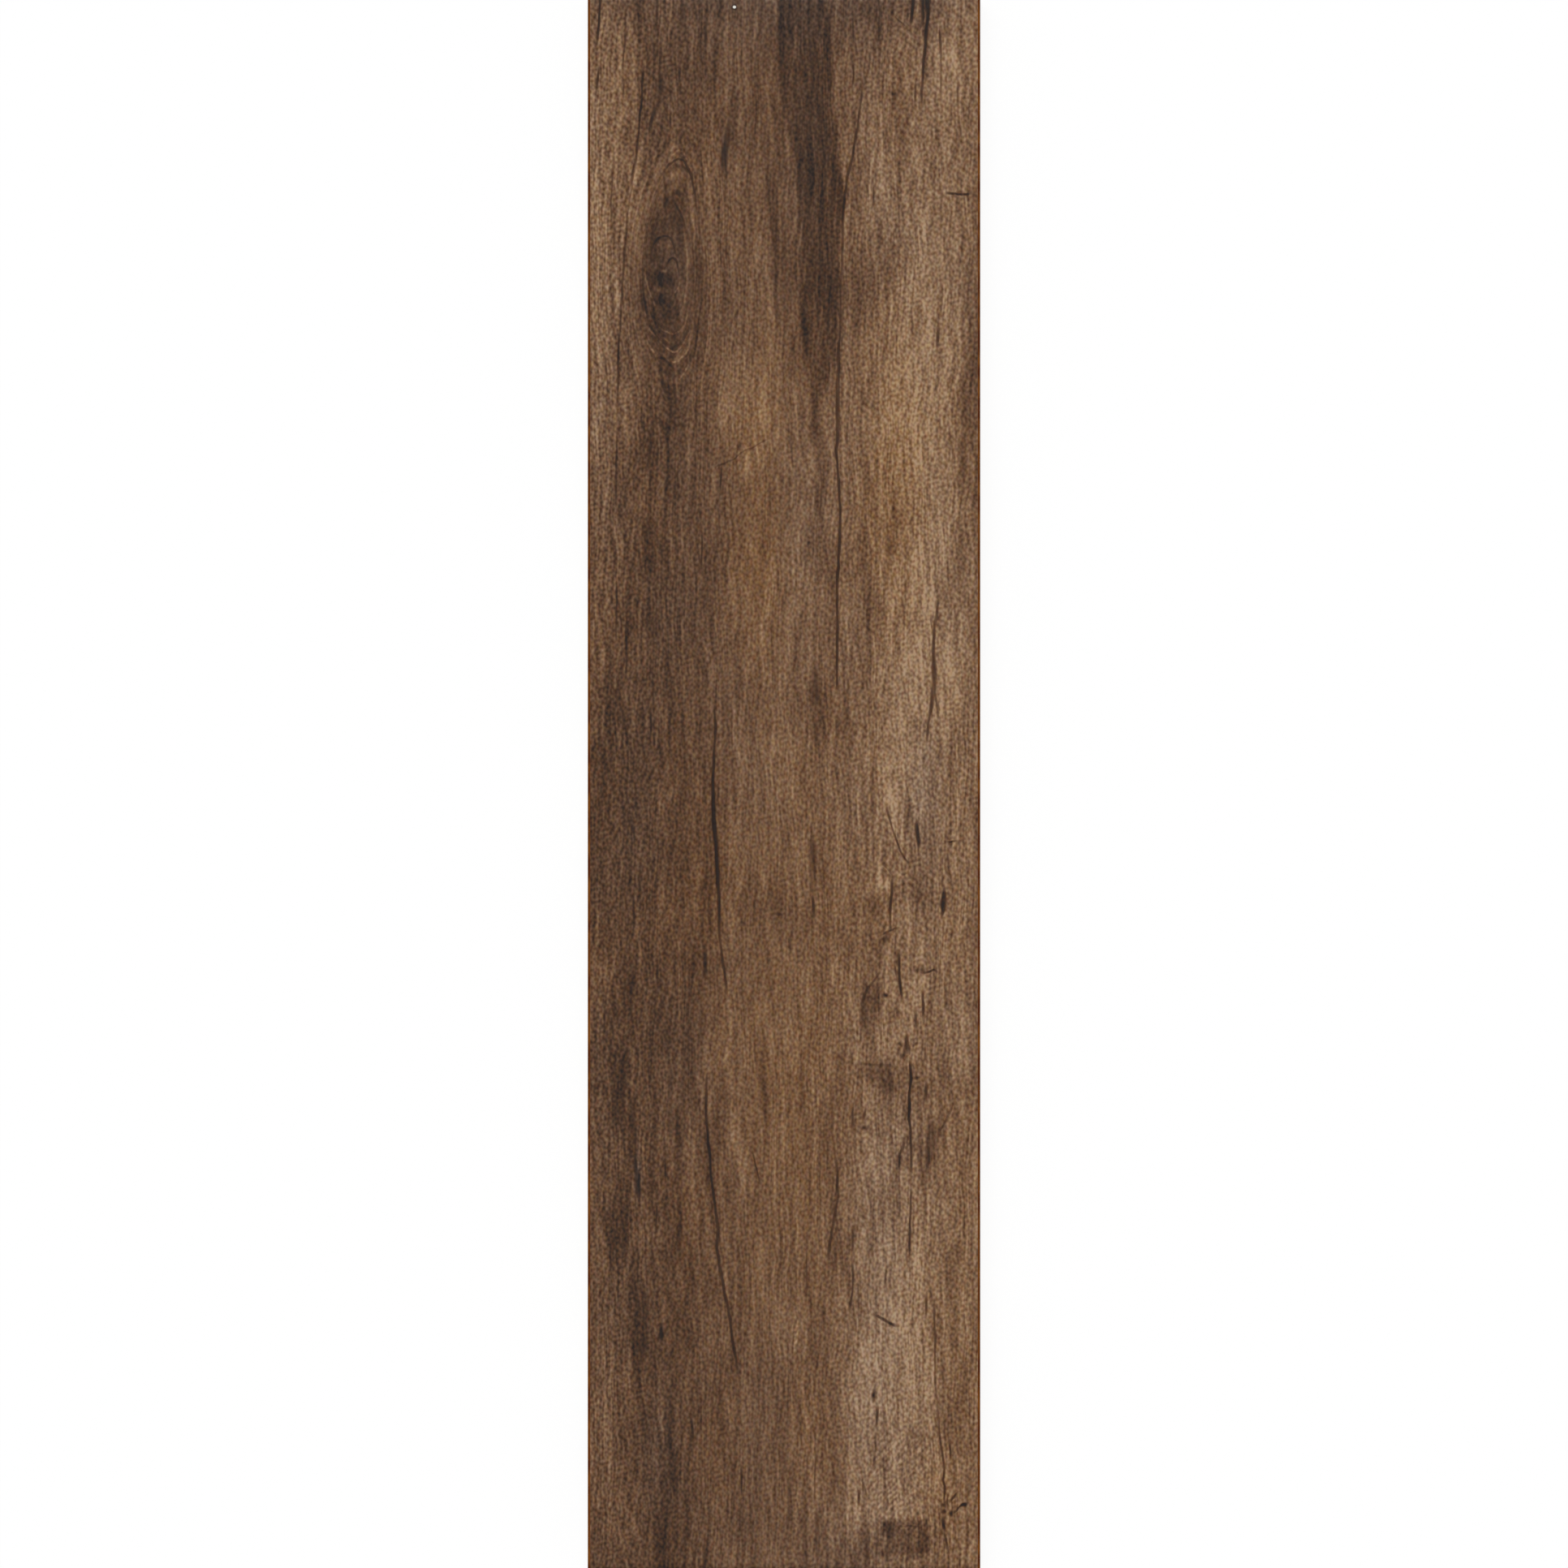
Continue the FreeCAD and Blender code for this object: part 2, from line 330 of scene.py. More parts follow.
# Lines of the print alone that run down the board, region by region: (row, column) places
FINE_LINES = {
    "far left": [
        line(-50, 2.6, (-20, 741), (15, 739.5), (30, 738.5), (42, 737), (58, 735)),
        line(-44, 2.4, (76, 739.5), (88, 738), (100, 736.5), (118, 735)),
        line(-28, 2.2, (36, 770), (60, 769.5), (76, 768), (92, 766)),
        line(-32, 1.8, (98, 769), (110, 768.5), (122, 768.5)),
        line(-13, 3.0, (-20, 810), (20, 809.5), (48, 809)),
        line(-14, 2.6, (44, 815), (60, 814), (88, 814)),
        line(-18, 6.0, (84, 815.5), (105, 813), (132, 811.5), (144, 805)),
        line(-36, 4.0, (130, 809), (144, 804.5), (155, 801.5), (169, 801.5)),
        line(-14, 4.0, (-20, 840), (18, 841), (42, 841)),
        line(-30, 2.6, (80, 838), (104, 837.5)),
        line(-20, 3.0, (30, 870), (64, 870)),
        line(-30, 2.2, (136, 826), (149, 826), (162, 826)),
        line(-18, 2.0, (90, 786.5), (106, 786.5)),
        line(-28, 2.2, (192, 757), (237, 753.5), (280, 753)),
        line(-24, 2.2, (345, 756), (370, 756), (395, 756.5)),
    ],
    "knot": [
        line(-19, 2.2, (244, 828), (250, 830.5), (256, 834.5), (264, 839), (272, 842), (288, 846)),
        line(18, 1.8, (334, 795), (342, 795.5), (352, 797.5), (362, 801), (371, 805), (381, 809)),
        line(-17, 4.5, (340, 791), (352, 790), (364, 791.5), (376, 794), (386, 798.5), (398, 807)),
        line(16, 2.0, (346, 838), (353, 836.5), (360, 833.5), (368, 827)),
        line(-15, 3.5, (444, 811), (458, 813.5), (474, 817.5), (498, 825)),
        line(-13, 3.0, (452, 829), (474, 831), (508, 835)),
    ],
    "dark spindle": [
        [(142, 899, 0, 2), (156, 897.5, -25, 4.6), (172, 896, -30, 7), (190, 893.5, -32, 8),
         (205, 892, -28, 6.4), (220, 892, 0, 3)],
    ],
    "in and by the dark figure": [
        line(12, 3.0, (25, 981), (55, 981), (85, 980)),
        line(-16, 2.0, (566, 1011.5), (605, 1012), (645, 1010)),
        line(-20, 2.0, (18, 1051), (62, 1051)),
        line(-36, 2.0, (76, 1051), (94, 1051), (112, 1050)),
        line(-22, 1.8, (-20, 1083), (55, 1083)),
    ],
    "far right": [
        [(-20, 1125, -52, 4.5), (8, 1125, -52, 4.2), (18, 1124, -50, 3.2), (27, 1122.5, -44, 2.8),
         (32, 1122, 0, 2)],
        [(-20, 1136, -52, 5), (6, 1136, -52, 4.5), (14, 1136, -50, 3.6), (24, 1136.5, -44, 3),
         (33, 1135.5, -34, 2.2), (42, 1132, 0, 2)],
        [(-20, 1142.5, -54, 5), (6, 1142.5, -54, 5), (16, 1142.8, -54, 3.8), (28, 1142, -50, 3.2),
         (38, 1141, -52, 4.2), (46, 1141, -52, 4.8), (56, 1140, -50, 3.4), (68, 1138.5, -48, 2.8),
         (80, 1137.5, -46, 2.4), (106, 1136, -44, 2.4), (118, 1135, -50, 3), (124, 1135, -38, 2.2),
         (136, 1134.5, 0, 2)],
        line(-38, 2.0, (98, 1128), (114, 1128), (130, 1127.5)),
        [(34, 1158, 0, 2), (42, 1158, -52, 2.4), (62, 1158.5, -52, 2.4), (70, 1159, -42, 2.2),
         (105, 1159, -40, 2.2), (130, 1158.5, 0, 2)],
        line(-26, 2.0, (100, 1180), (118, 1180), (136, 1179.5)),
        line(-42, 2.2, (228, 1076), (258, 1076)),
        line(-46, 2.8, (398, 1157.5), (415, 1155.5), (434, 1153.5)),
    ],
    "below the knot": [
        line(-17, 3.0, (515, 806), (550, 802), (585, 798)),
        line(-22, 2.0, (535, 760), (578, 760), (630, 759)),
        line(-26, 2.0, (650, 865), (680, 865), (706, 864)),
        line(-32, 2.0, (570, 889), (610, 888)),
        line(-30, 2.0, (712, 760), (750, 760), (792, 759)),
        line(-19, 2.0, (752, 772), (800, 772), (840, 772)),
        line(-26, 2.0, (870, 802), (912, 802)),
    ],
    "middle right": [
        line(-42, 2.2, (850, 1152), (870, 1154), (890, 1156)),
        line(-34, 1.9, (754, 1146.5), (768, 1147.5), (786, 1149.5)),
        line(-18, 6.4, (820, 1005), (846, 1005), (872, 1004)),
        line(-16, 5.0, (884, 1005), (922, 1005)),
        line(-24, 2.2, (882, 1030), (906, 1030)),
        line(-16, 6.0, (658, 1097), (690, 1096)),
        line(-16, 1.8, (686, 1168), (722, 1168)),
    ],
    "left middle": [
        line(-26, 2.0, (1014, 782), (1044, 782)),
        line(-18, 2.2, (1094, 781), (1146, 781)),
        line(-22, 2.0, (1176, 810), (1208, 810)),
        line(-16, 5.0, (1165, 870), (1210, 869)),
    ],
    "middle": [
        line(-22, 6.5, (1030, 1001), (1106, 1001)),
        line(-38, 2.6, (1102, 1002), (1135, 1003)),
        line(-14, 3.0, (1264, 941), (1306, 941)),
        line(-40, 3.0, (1356, 1050.5), (1376, 1050.5), (1396, 1050.5)),
    ],
    "small knots": [
        line(-44, 2.1, (986, 1091), (1003, 1094), (1010, 1096), (1022, 1100), (1033, 1103.5), (1045, 1108),
             (1052, 1110.5), (1057, 1114), (1067, 1122)),
        line(-30, 2.0, (1042, 1099.5), (1052, 1100.5), (1062, 1101.5)),
        [(1007, 1129, 0, 2), (1012, 1129, -54, 3), (1020, 1129, -60, 4.2), (1030, 1130, -62, 4.4),
         (1037, 1131.5, -66, 4.4), (1042, 1131.5, -54, 3), (1048, 1131, 0, 2)],
        [(1096, 1163.5, 0, 2), (1100, 1163.2, -66, 3), (1108, 1162, -74, 4.8), (1115, 1161.3, -76, 5.8),
         (1121, 1162, -74, 4.8), (1126, 1160.8, -66, 3.4), (1131, 1159.5, 0, 2)],
        line(-30, 1.8, (1184, 1102), (1198, 1103.5), (1209, 1106.5)),
        line(-23, 2.4, (1198, 1083), (1205, 1079.5), (1212, 1073), (1219, 1068.5), (1227, 1064),
             (1240, 1062)),
        line(-14, 4.5, (1226, 1063.5), (1240, 1061.5), (1264, 1061)),
        line(-64, 2.8, (1214, 1137), (1236, 1137), (1258, 1137)),
        line(-42, 3.2, (1240, 1128.5), (1258, 1128), (1272, 1128)),
        line(-44, 3.2, (1241, 1106), (1248, 1106), (1256, 1106)),
    ],
    "lower knot": [
        line(-42, 2.8, (1326, 1141), (1344, 1140.5), (1360, 1140)),
        line(-36, 2.6, (1398, 1115.5), (1412, 1112), (1424, 1108), (1443, 1107)),
        line(-22, 9.0, (1378, 1148), (1404, 1147), (1438, 1143)),
        line(-28, 2.6, (1412, 1145), (1430, 1143.5), (1449, 1141)),
        line(-42, 2.4, (1360, 1067), (1372, 1065), (1384, 1063)),
        line(-22, 1.8, (1374, 1079), (1390, 1080), (1406, 1081)),
        line(-24, 2.4, (1350, 1178), (1366, 1172), (1380, 1166), (1392, 1158), (1404, 1152)),
        line(-50, 2.3, (1460, 1122.3), (1480, 1122), (1515, 1121), (1552, 1120.5)),
    ],
    "lower left": [
        line(-18, 3.4, (1350, 781.5), (1385, 781.5), (1418, 782)),
        [(1400, 782.5, 0, 2.5), (1430, 783, -30, 3.4), (1450, 785.5, -34, 5.4), (1468, 786.5, -34, 5.4),
         (1484, 788, 0, 2)],
        line(-18, 3.0, (1356, 834), (1406, 834)),
        line(-11, 6.0, (1320, 826), (1400, 826)),
        line(-20, 1.8, (1422, 820), (1460, 820)),
        line(-28, 1.8, (1480, 809.5), (1512, 809.5)),
        line(-8, 5.0, (1500, 838), (1556, 838)),
        line(-10, 9.0, (1580, 796), (1670, 795)),
        line(-24, 2.6, (1744, 852), (1780, 854.5)),
    ],
    "lower middle": [
        line(-30, 1.8, (1414, 926), (1460, 937)),
        line(-22, 1.8, (1540, 994), (1602, 994)),
        line(-18, 3.0, (1534, 1028.5), (1568, 1029.5)),
        line(-34, 2.4, (1508, 1050.5), (1528, 1050.5), (1548, 1050.5)),
        line(-34, 2.4, (1550, 1051), (1590, 1050.5), (1618, 1045)),
        line(24, 3.4, (1602, 981), (1640, 981), (1670, 979)),
    ],
    "pale streak": [
        line(-14, 1.8, (1457, 1141), (1497, 1141)),
        line(-36, 2.0, (1558, 1092), (1586, 1090)),
        line(-60, 2.4, (1588, 1141), (1606, 1141), (1626, 1141)),
        line(-60, 2.3, (1728, 1081.5), (1744, 1080.5), (1760, 1079.5)),
        line(-30, 1.9, (1765, 1079), (1778, 1078.5), (1790, 1078)),
        line(-54, 3.0, (1791, 1077), (1800, 1077), (1809, 1077)),
        line(-28, 2.0, (1818, 1060), (1833, 1066), (1849, 1069.5)),
        line(-58, 3.0, (1832, 1058), (1844, 1058), (1856, 1058)),
        line(-28, 2.6, (1858, 1070.5), (1869, 1070.5)),
        line(-46, 2.4, (1772, 1170), (1786, 1170.5), (1799, 1171)),
    ],
    "near end": [
        line(-26, 2.0, (1799, 913), (1844, 914)),
        line(-11, 5.0, (1820, 972), (1884, 972)),
        line(24, 4.6, (1826, 982), (1860, 982), (1894, 982)),
        line(-26, 2.0, (1786, 1004), (1820, 1004), (1856, 1003)),
        line(-20, 5.0, (1856, 1006), (1890, 1007), (1924, 1008)),
        line(-16, 2.8, (1894, 867), (1950, 869)),
        line(-22, 2.4, (1902, 856), (1930, 856)),
        line(-20, 2.4, (1852, 785), (1880, 785)),
        line(-18, 4.0, (1880, 1069), (1905, 1069), (1932, 1068)),
        line(-14, 3.0, (1898, 1080), (1932, 1080)),
        line(-36, 2.0, (1838, 1168.5), (1849, 1167), (1858, 1168.5)),
        line(-56, 3.0, (1867, 1160.5), (1876, 1162), (1887, 1164)),
        line(-40, 2.2, (1888, 1163.5), (1898, 1166), (1911, 1167.5)),
    ],
}

# Lines of the print that lie across the grain: (column, row) places
CROSS_LINES = {
    "knot": [
        line(-14, 2.2, (799, 208), (806, 199), (812, 192.5), (820, 186)),
        line(14, 2.0, (826, 195), (831, 189), (837, 186), (842, 189), (846, 196), (850, 205), (854, 215)),
        line(-11, 2.4, (802, 244), (806, 233), (812, 222), (818, 212), (826, 203)),
        line(-28, 2.5, (819, 210), (824, 204.5), (830, 199.5), (836, 197), (842, 198.5), (846, 204.5),
             (850, 213), (853, 222), (857, 240)),
        line(-15, 2.4, (852, 218), (856, 237), (859, 256), (862, 290)),
        line(-20, 2.2, (803, 309), (806, 301), (811, 295), (817, 291.5), (823, 291.5), (828, 297),
             (831, 305), (834, 315)),
        line(-26, 2.1, (820, 328), (825, 321), (829, 319), (833, 321.5), (835.5, 329), (837.5, 341)),
        line(20, 1.9, (807, 395), (812, 403), (818, 408.5), (824, 411), (830, 412.5), (836, 411),
             (841, 405), (845, 397), (849, 385)),
        line(-10, 2.4, (810, 412), (820, 422), (828, 428.5), (834, 428), (839, 423), (844, 416),
             (848, 408), (852, 396)),
        line(17, 1.9, (795, 400), (802, 408), (808, 415.5), (814, 422), (820, 428), (826, 432.5),
             (831, 435), (835, 433), (840, 427), (845, 420), (851, 408)),
        line(18, 2.4, (820, 428.5), (826, 432.5), (831, 435), (835, 433), (841, 426)),
        line(32, 2.1, (796, 420.5), (801, 428), (805, 434), (811, 443)),
        line(-18, 2.4, (804, 447), (812, 441), (818, 442.5), (824, 448), (832, 457)),
        line(22, 2.0, (825, 446), (831, 447), (836, 445.5), (841, 442), (845, 437), (848, 430), (852, 418)),
        line(22, 2.0, (835, 470), (840, 464), (844, 458), (847, 453), (851, 446)),
    ],
    "scratch": [
        line(-20, 1.8, (876, 578), (893, 570.5), (904, 566), (911, 561), (919, 555.5), (932, 549.5),
             (952, 539)),
    ],
    "far right": [
        line(-24, 1.8, (1101, 21), (1106, 25.5), (1111, 29.5), (1119, 36)),
        line(-54, 2.5, (1162, 239), (1170, 239), (1180, 240.5), (1190, 240.5), (1198, 240)),
    ],
    "small knots": [
        line(-16, 2.6, (1116, 1002), (1125, 995), (1139, 987)),
        line(-50, 2.1, (1165, 1037), (1171, 1036.5), (1179, 1036)),
        line(-18, 1.8, (1085, 1062), (1091, 1067.5), (1097, 1075), (1102, 1083)),
        line(15, 2.0, (1100, 1069), (1107, 1076), (1113, 1081), (1117, 1078), (1122, 1071)),
        line(-32, 2.2, (1084, 1151.5), (1090, 1149.5), (1096, 1147), (1102, 1143.5), (1111, 1143)),
        line(-50, 2.3, (1133, 1199.5), (1140, 1197), (1147, 1196.5), (1150, 1194.5), (1158, 1199)),
    ],
    "lower knot": [line(-20, 2.6, (1053, 1310), (1075, 1311), (1090, 1312), (1104, 1313))],
    "pale streak": [
        line(-54, 2.9, (1075, 1618.5), (1082, 1621.5), (1090, 1625.5), (1097, 1630), (1106, 1633.5)),
    ],
    "near end": [
        line(-50, 2.2, (1169, 1852), (1173, 1846.5), (1177, 1841.5), (1181, 1837)),
        line(-48, 2.3, (1173, 1864), (1179, 1858), (1184, 1854), (1193, 1849.5)),
        line(-16, 2.0, (1106, 1880), (1120, 1879), (1138, 1881)),
    ],
}

# Small marks
SMALL_MARKS = {
    "pale over the knot's small ring": Spot(834.5, 226, 6, 7, 20),
    "knot's small ring": Spot(834.5, 239.5, 8, 7.5, -20),
    "its dot": Spot(834, 242.5, 4, 4, 26),
    "shade in the knot's arch": Spot(820, 227, 9, 10, -14),
    "knot's upper blot": Spot(822, 251, 10, 14, -22),
    "olive patch": Spot(817, 276, 25, 27, -14),
    "olive patch's right": Spot(831, 275, 7, 18, -5),
    "black of the brow": Spot(812, 295, 8, 5.5, -12),
    "knot's left disc": Spot(807, 318, 13, 12, -9),
    "knot's pupil": Spot(813, 343, 23, 18, -19),
    "knot's pupil's right": Spot(828, 346, 8, 14, -12),
    "knot's lower blot": Spot(814, 370, 13, 12, -28),
    "knot's lower right shade": Spot(836, 387, 13, 12, -9),
    "knot's right blot": Spot(825, 381, 6, 14, -24),
    "knot's far right blot": Spot(843, 378, 7, 7, -12),
    "glint over the pupil": Spot(818, 334.5, 6, 4.4, 36),
    "glint under the pupil": Spot(813.5, 357, 5.4, 4.6, 30),
    "glint under the brow": Spot(811, 303, 4, 3.4, 14),
    "glint beside it": Spot(823, 304, 5, 4.4, 12),
    "pin spot": Spot(940, 134, 5, 9, -20),
    "tick": Spot(1076, 60, 2.6, 13, -22),
    "stem of the cross crack": Spot(1193, 239, 5, 12, -20),
    "spot by the ticks": Spot(1132.5, 56, 4, 6, -40),
    "far right dot": Spot(1101, 117, 4.6, 5.4, -40),
    "fill between the ticks": Spot(1137, 4, 11, 28, -9),
    "end of the scratch": Spot(910.7, 551, 4, 8, -36),
    "middle dot": Spot(996.5, 670, 4, 4, -34),
    "shade by the black spindle": Spot(1120, 1010, 12, 32, -18),
    "T mark's stem": Spot(1171.6, 1040, 3.2, 7, -40),
    "pale patch of the small knot": Spot(1089, 1089, 13, 12, 34),
    "brown patch of the small knots": Spot(1139, 1105, 17, 32, -15),
    "mottle of the small knot": Spot(1081, 1115, 16, 26, -20),
    "blob of the small knot": Spot(1091, 1157, 7, 10, -42),
    "smear of the cross mark": Spot(1131, 1195, 8, 7, -50),
    "tick of the cross mark": Spot(1137, 1193, 3.4, 7, -36, 16),
    "knot dash": Spot(1091.6, 1226.5, 5.4, 4.8, -86, -34),
    "dash": Spot(960, 1127, 6, 3, -26),
    "hatch": Spot(974, 1166, 4, 15, -18, 10),
    "blot's loop": Spot(1113, 1299, 7, 8, -46),
    "blot's branch": Spot(1110, 1287, 7, 3, -40, -30),
    "blot's right branch": Spot(1128, 1287, 7, 3, -34, 30),
    "dark blotch": Spot(1079, 1323, 38, 21, -22),
    "blotch beside it": Spot(1094, 1338, 20, 13, -18),
    "lower knot's dot": Spot(1130, 1328, 5.4, 4.4, -44),
    "spot": Spot(1065, 1389, 8, 6, -54),
    "blotch by the black split's foot": Spot(1110, 1432, 12, 17, -32),
    "blue grey spot": Spot(815, 1641, 6.4, 18, -42),
    "nick's head": Spot(1099, 1631, 7, 5.4, -38),
    "pale streak's dash": Spot(1076.6, 1718, 4.6, 12, -82, -8),
    "cluster's middle": Spot(1163, 1853, 4.6, 5.6, -56, -30),
    "cluster's left": Spot(1162.5, 1860.5, 5.4, 5, -54),
    "cluster's lower right": Spot(1171.5, 1864, 4.2, 6, -56),
    "cluster's blot": Spot(1187, 1853, 6.4, 4.2, -50, 24),
    "stub of the square patch": Spot(1094, 1884, 11, 20, -26, 10),
    "corner of the square patch": Spot(1133, 1906, 12, 12, -12),
}

# The tone at which a split is embossed to its full depth
SPLIT_TONE = 45

# The squarish dark patch near the near end, how its edges reach out and in, ragged at the sides and the
# near end and clear at the far end, how ragged they are, and how uneven its tone is
SQUARE_PATCH = Spot(1115, 1895, 31, 24, -32)
RAGGED_EDGE = (5, -9)
CLEAR_EDGE = (3, -5)
RAG = Layer(9, 9, 16, 26, detail=1.0)
RAG_TONE = 0.5

# Faint saw marks aslant over the pale streak: where they lie and how strong they are, and their noise
SAW_MARKS = Spot(1110, 1820, 56, 84, 44)
SAW_MARK = Layer(3.6, 34, 17)
SAW_MARK_WAY = math.sqrt(0.5)

# A small chip in the glaze at the far end, down to the pale ground, and its dark rim: the tone here is
# how far each covers the print
CHIP = Spot(905, 10, 2.4, 2.1, 1.0)
CHIP_RIM = Spot(904.6, 10.4, 4.8, 5.2, 0.6)
CHIP_EDGE = (0.95, 0.7)
CHIP_RIM_EDGE = (0.95, 0.6)

# The knot's rings: their middle, reach to the side, above and below, how far they lean to the right
# between which rows from the middle, how many there are, how far they waver and fade along their
# length, and their contrast from the eye outwards
KNOT_MIDDLE = (824, 335)
KNOT_HALF_COLUMNS = 37
KNOT_ROWS_ABOVE = 138
KNOT_ROWS_BELOW = 112
KNOT_LEAN_ABOVE = (-20, -158, 13)
KNOT_LEAN_BELOW = (50, 122, 6)
KNOT_RING_COUNT = 14
KNOT_RING_WAVER = 0.06
KNOT_RING_FADE = 0.45
KNOT_RING_CONTRAST = [(0.0, 10), (0.3, 30), (0.6, 56), (1.0, 60), (1.5, 40), (2.1, 0)]

# The straight grain: how it drifts aside in columns, and how far the knot spreads it and calms it
DRIFT_LAYERS = [Layer(190, 620, 1, 34, 1.0), Layer(55, 240, 2, 10, 1.0), Layer(26, 70, 14, 9)]
KNOT_SPREAD = Spot(822, 335, 100, 230, 0.5)
KNOT_CALM = Spot(821, 330, 62, 170, 0.72)

# Where the print is warmer or greyer than its tone alone: the tone here is added to the saturation
WARM_PATCHES = {
    "warm pale streak": Spot(1102, 600, 70, 270, 0.1),
    "warm centre": Spot(935, 640, 60, 420, 0.07),
    "warm left side": Spot(850, 1120, 70, 190, 0.06),
    "warm right edge": Spot(1185, 1560, 40, 330, 0.05),
    "grey pale streak": Spot(1078, 1590, 80, 440, -0.07),
    "warm middle": Spot(985, 1330, 170, 560, 0.06),
    "warm near right": Spot(1170, 1860, 60, 130, 0.07),
    "grey small knots": Spot(1138, 985, 36, 130, -0.07),
    "grey far end": Spot(966, -30, 420, 130, -0.12),
    "grey far right": Spot(1120, 180, 110, 260, -0.01),
    "grey knot": Spot(825, 345, 40, 110, -0.08),
    "grey near end": Spot(1060, 1910, 110, 110, -0.06),
    "blue grey streak": Spot(786, 1448, 7, 46, -0.2),
    "grey spindle": Spot(893, 185, 7, 34, -0.12),
    "grey dark figure": Spot(1000, 180, 48, 300, -0.05),
    "grey left foot": Spot(812, 1790, 40, 190, -0.06),
}

# Wide changes of saturation about them
WARMTH_DRIFT = Layer(60, 160, 11, 0.1, 1.0)

# Streaks of the board
STREAK_LAYERS = [Layer(38, 420, 6, 17, 1.0), Layer(16, 150, 7, 24, 1.0), Layer(6.5, 85, 8, 30, 1.0)]

# Fine grain: its grit and fibres, and how far the grit breaks up the lines
GRIT = Layer(3.5, 4.4, 10, 62)
FIBRES = [Layer(5.0, 90, 9, 31), Layer(3.2, 26, 12, 40)]
LINE_GRIT = 0.9

# The grain's share of its strength: from the left side of the board to the right, and from dark tones
# to pale ones
GRAIN_SHARE = [(724, 1.1), (790, 1.02), (850, 0.9), (950, 0.77), (1050, 0.92), (1130, 1.0), (1208, 0.96)]
GRAIN_DARK = (55, 0.64)
GRAIN_PALE = (115, 1.1)

# The tones that the glaze's colours run through, and the painted shade along the near end, away from the
# key light: its rows and tone
TONE_RANGE = (35, 145)
NEAR_END_PAINTED_SHADE_ROWS = 8
NEAR_END_PAINTED_SHADE = 14

# Small changes of tint: their noise, and how far hue and saturation go
TINT = Layer(4, 7, 13)
HUE_SPREAD = 0.03
SATURATION_SPREAD = 0.26

# The long edges: how many dots in they carry painted shade and how many in they are dry, and the waver
# between which that painted shade goes from dark to light
PAINTED_SIDE_SHADE_EDGE = (3.4, 2.6)
DRY_EDGE = (3.2, 2.0)
PAINTED_SIDE_SHADE_WAVER = 0.2

# The emboss: gentle swells, grain, and how far from the rim both are at their full depth
SWELL = Layer(120, 420, 21, detail=1.0)
PRESSED_GRAIN = Layer(4.2, 60, 22, detail=2.0)
EMBOSS_RIM = 4 * MILLIMETRE

# The bare body's noise, in millimetres: size, seed and octaves
BODY_CLOUDS = (30, 1, 2.0)
BODY_GRIT = (0.45, 2, 1.0)
BODY_PEPPER = (0.7, 3, 0.0)
BODY_WASH = (6, 4, 2.0)
BODY_RAG = (4, 5, 2.0)
BODY_FINE_RAG = (0.8, 6, 2.0)

# The body's release wash on the ribs of the back, and the ground and glaze that run over the walls'
# tops: from nothing to full, in millimetres above the back and below the face
WASH_HEIGHTS = (0.25, 0.02)
GROUND_DEPTHS = (2.1, 1.9)
GLAZE_DEPTHS = (1.7, 1.45)

# A pocket's wall and floor: shares of its depth and of its draft
POCKET_STEPS = ((0.78, 0.62), (1.0, 1.0))

# Attributes that the face's points carry to the glaze
TONE_ATTRIBUTE = "board_tone"
DRIFT_ATTRIBUTE = "grain_drift"
WARMTH_ATTRIBUTE = "warmth"


class Value:
    """A number socket of a node tree: arithmetic on it adds Math nodes."""

    def __init__(self, desk, socket):
        self.desk = desk
        self.socket = socket

    def __add__(self, other):
        return self.desk.math("ADD", self, other)

    def __radd__(self, other):
        return self.desk.math("ADD", other, self)

    def __sub__(self, other):
        return self.desk.math("SUBTRACT", self, other)

    def __rsub__(self, other):
        return self.desk.math("SUBTRACT", other, self)

    def __mul__(self, other):
        return self.desk.math("MULTIPLY", self, other)

    def __rmul__(self, other):
        return self.desk.math("MULTIPLY", other, self)

    def __truediv__(self, other):
        return self.desk.math("DIVIDE", self, other)

    def __gt__(self, other):
        return self.desk.math("GREATER_THAN", self, other)

    def __abs__(self):
        return self.desk.math("ABSOLUTE", self)


